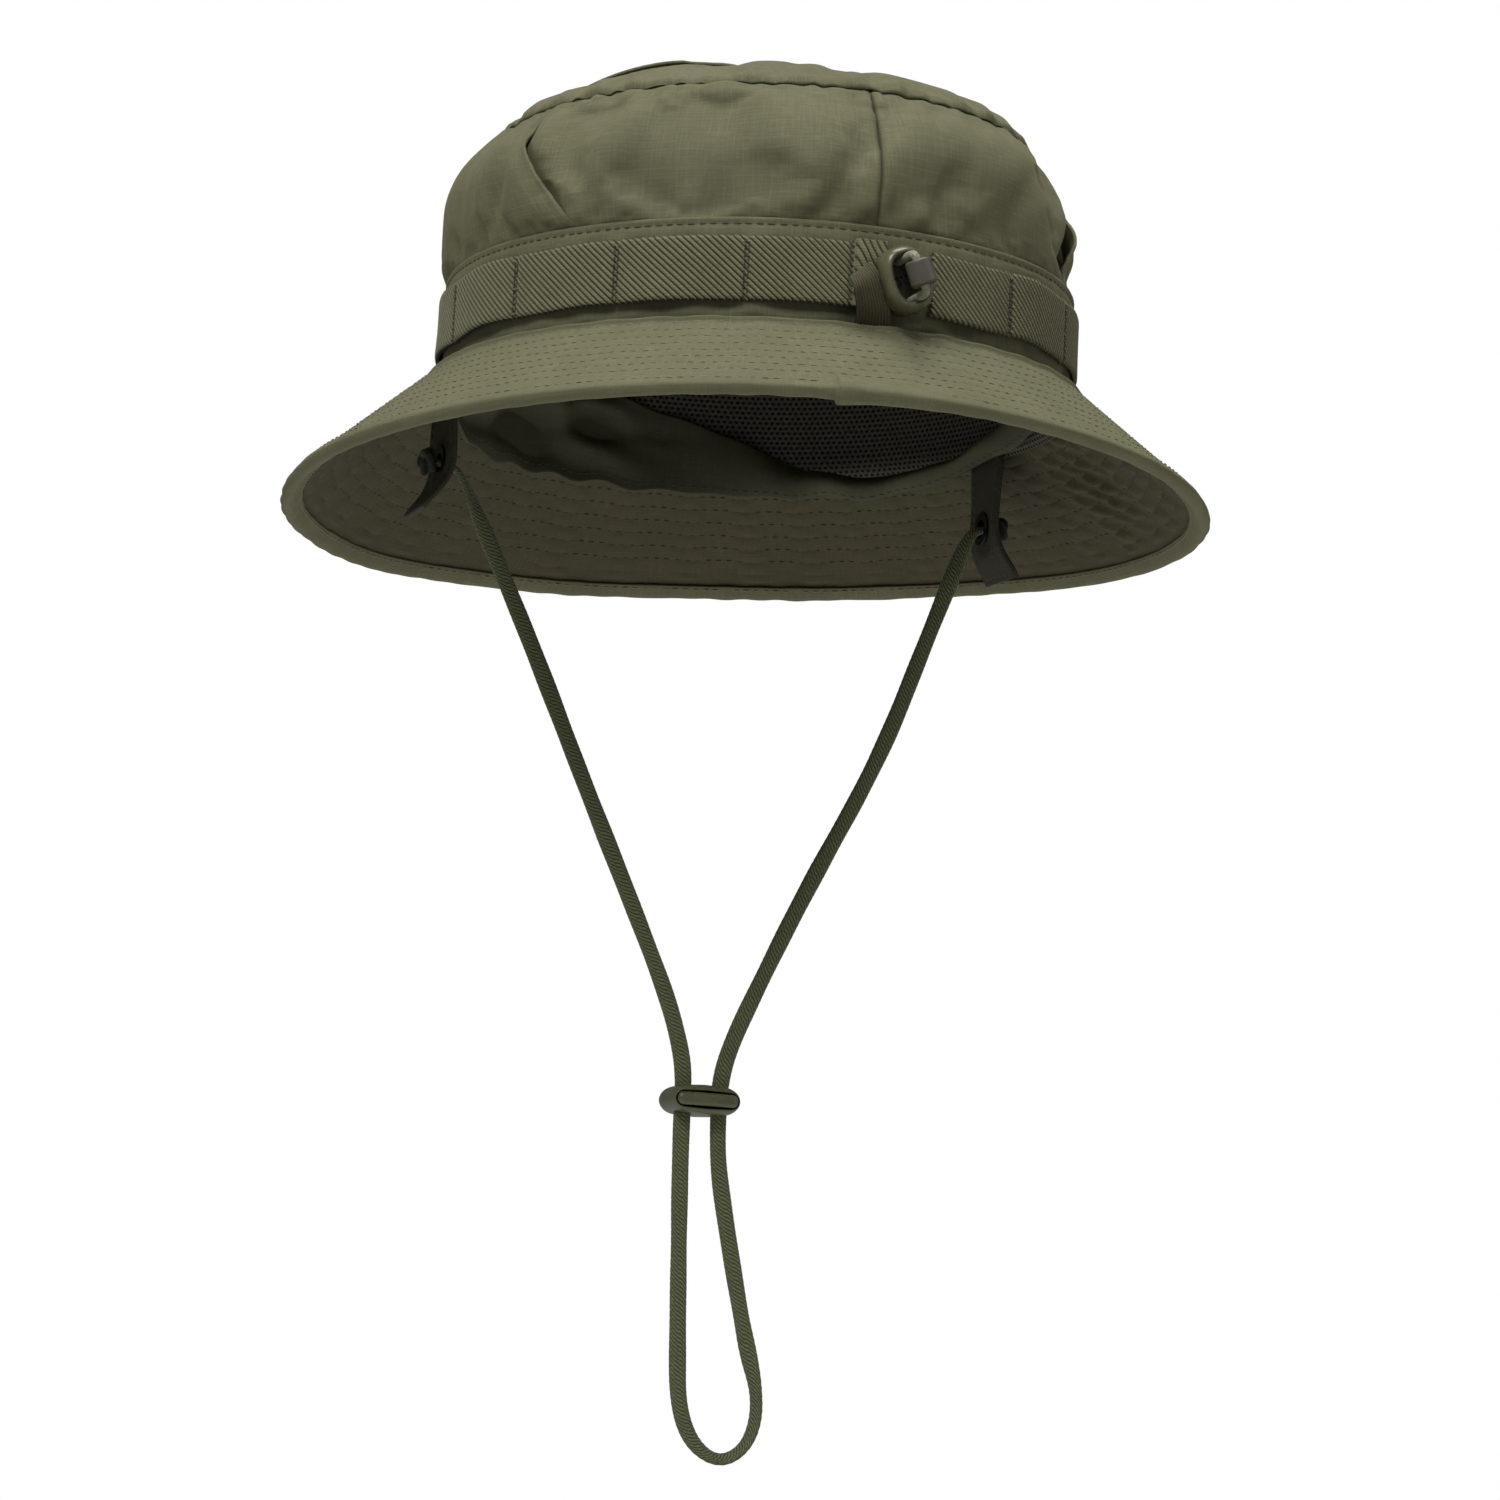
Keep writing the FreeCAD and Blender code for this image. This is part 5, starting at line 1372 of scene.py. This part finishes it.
def make_shock_cord():
    """Two strands from the band, through the lock, into the clamp's ends, and the rest of the cord
    in the channel under the base band."""
    clamp = centre_of("drawcord_clamp")
    dress_node("drawcord_clamp", "clamp_plastic")
    turn = np.arange(24) * np.pi / 12
    for side, word in ((1, "upper"), (-1, "lower")):
        hole = clamp * [1, 0, 1] + REAR_LONG * (5.6 * side)
        route = [hole + [0, y, 0] for y in (101.6, 106.0, 112.0, 116.0, clamp[1] - 0.6, clamp[1])]
        route[4] -= REAR_LONG * (0.7 * side)
        route[5] -= REAR_LONG * (2.4 * side)
        line, reach = even(spline(route, 120), 0.2)
        grid = tube_grid(line, 2.3, 2.3, np.array([1.0, 0, 0]))
        one, two = (np.abs(np.sin(reach[:, None] * 2.4 + way * turn)) for way in (3, -3))
        grid = swell(grid, line, 0.12 * one * two - 0.05)
        piece = grid_mesh(f"shock_cord_{word}", grid, closed=True)
        dress(piece, "shock_cord", body=None, stands_for=["drawcord_loop"])
        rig.blend(piece, "hat", "rear_pull", start=(0, 0.1030, 0), end=(0, 0.1160, 0))
    line = oval(np.arange(96, 444, 1.0), BAND_HALF - 1.25, 14.0)
    ring = tube_grid(line, 2.6, 0.8, np.array([0, 0, 1.0]), 12)
    dress(grid_mesh("channel_cord", ring, closed=True), "shock_cord", stands_for=["drawcord_ring"])


def make_tape():
    """Grosgrain: it leaves the seam under the lock, folds over and ends on the lock's flank."""
    x, y, _ = centre_of("lock_tab")
    path = [(2.8, -0.8, -0.4), (2.9, 1.2, 1.0), (3.7, 3.2, 3.6), (5.4, 4.6, 7.4), (6.9, 5.0, 10.8),
            (7.6, 3.4, 13.2), (7.2, 1.2, 13.6)]
    lean = [0, 0, -4, -16, -34, -42, -42]
    line = spline(path, 90) + [x, y, 0]
    share = np.linspace(0, 1, 90)
    tilt = np.radians(np.interp(share, np.linspace(0, 1, len(lean)), lean))
    side = stack(np.cos(tilt), 0.0, np.sin(tilt))
    wide = np.interp(share, [0, 0.4, 1], [1.0, 0.9, 0.64]) * (high("lock_tab")[0] - low("lock_tab")[0])
    across = np.linspace(-0.5, 0.5, 46)[None, :, None] * wide[:, None, None]
    out = unit(np.cross(side, np.gradient(line, axis=0)))
    rib = 0.11 * np.sin(np.linspace(0, 2 * np.pi * 11, 46))[None, :, None]
    weave = np.stack(np.meshgrid(np.linspace(0, 10.45, 46), np.linspace(0, 22, 90)), -1)
    grid = line[:, None] + side[:, None] * across + out[:, None] * rib
    cloth("lock_tape", grid, 0.7, "grosgrain", "lock_tab", uv=weave)


def make_locks():
    make_spring("chin", "chin_lock", np.array([0, 0, 1.0]))
    make_spring("rear", "hat", np.array([0, 1.0, 0]))
    make_chin_lock()
    make_rear_lock()
    make_shock_cord()
    make_tape()


# ---------------------------------------------------------------- stage, light and camera
AZIMUTH, ELEVATION, ROLL = math.radians(159.5), math.radians(-8.308), 0.050
DISTANCE = 1.470
LENS, SENSOR = 122.93, 36
FLOOR_LEVEL, FLOOR_HALF = -620.0, 4000.0


def make_camera():
    level = Vector((math.cos(AZIMUTH), math.sin(AZIMUTH), 0))
    back = Vector((math.sin(AZIMUTH) * math.cos(ELEVATION), -math.cos(AZIMUTH) * math.cos(ELEVATION),
                   math.sin(ELEVATION)))
    upright = back.cross(level)
    right = level * math.cos(ROLL) + upright * math.sin(ROLL)
    up = upright * math.cos(ROLL) - level * math.sin(ROLL)
    data = bpy.data.cameras.new("camera")
    data.sensor_width = SENSOR
    data.lens = LENS
    data.clip_start, data.clip_end = 0.05, 50
    camera = place_object("camera", data)
    matrix = Matrix((right, up, back)).transposed().to_4x4()
    matrix.translation = level * 0.00413 + Vector((0, 0, -0.10359)) + back * DISTANCE
    camera.matrix_world = matrix
    bpy.context.scene.camera = camera


def area_light(name, place, aim, size, power):
    data = bpy.data.lights.new(name, "AREA")
    data.shape = "DISK"
    data.size = size
    data.energy = power
    data.spread = math.radians(70)
    light = place_object(name, data)
    light.location = place
    light.rotation_euler = (Vector(aim) - Vector(place)).to_track_quat("-Z", "Y").to_euler()


def make_floor():
    """A white floor that shows from above only, and gives no light back to the hat."""
    x, y = np.meshgrid(np.linspace(-FLOOR_HALF, FLOOR_HALF, 3), np.linspace(-FLOOR_HALF, FLOOR_HALF, 3))
    floor = grid_mesh("floor", stack(x, y, FLOOR_LEVEL))
    n = Finish("floor", (0.0, 0.0, 0.0))
    shader = n.tree.nodes["Principled BSDF"]
    for name, value in (("Base Color", n.colour), ("Roughness", 0.9), ("Specular IOR Level", 0.0),
                        ("Emission Color", (1.0, 1.0, 1.0)), ("Emission Strength", 1.0)):
        n.feed(shader.inputs[name], value)
    facing = n.add("ShaderNodeNewGeometry").outputs["Backfacing"]
    clear = n.add("ShaderNodeBsdfTransparent").outputs[0]
    under = n.add("ShaderNodeMixShader", {0: facing, 1: shader.outputs[0], 2: clear})
    n.feed(n.tree.nodes["Material Output"].inputs[0], under.outputs[0])
    floor.data.materials.append(n.material)
    floor.visible_diffuse = False
    floor.visible_glossy = False
    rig.stage(floor)


def make_studio():
    """White to the camera; to the hat, a dim dome that is brighter low down, and three lamps."""
    world = bpy.data.worlds.new("studio")
    bpy.context.scene.world = world
    world.use_nodes = True
    n = Nodes(world.node_tree)
    seen = n.tree.nodes["Background"]
    n.feed(seen.inputs[0], (1.0, 1.0, 1.0))
    up = n.split(n.add("ShaderNodeTexCoord").outputs["Generated"])[2]
    light = n.mix(n.ramp(up, -0.85, 0.1), (0.70, 0.70, 0.70), (0.14, 0.14, 0.14))
    dome = n.add("ShaderNodeBackground", {0: light})
    to_camera = n.add("ShaderNodeLightPath").outputs["Is Camera Ray"]
    pick = n.add("ShaderNodeMixShader", {0: to_camera, 1: dome.outputs[0], 2: seen.outputs[0]})
    n.feed(n.tree.nodes["World Output"].inputs[0], pick.outputs[0])
    area_light("key", (0.95, 1.0, 1.25), (0, 0.02, 0.0), 0.9, 3.4)
    area_light("fill", (-1.2, 0.9, 0.7), (0, 0, 0.0), 1.2, 0.55)
    area_light("top", (0, 0.2, 1.8), (0, 0, 0), 1.0, 3.0)
    bpy.context.scene.view_settings.view_transform = "Standard"


make_camera()
make_floor()
make_studio()
make_cords()
make_crown()
make_bands()
make_brim()
make_sweatband()
make_tab(1, "left")
make_tab(-1, "right")
make_locks()

visual_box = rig.bounds()
with open("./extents.json", "w") as out_file:
    json.dump({"cad": [list(corner) for corner in cad_box],
               "visual": [list(corner) for corner in visual_box]}, out_file)
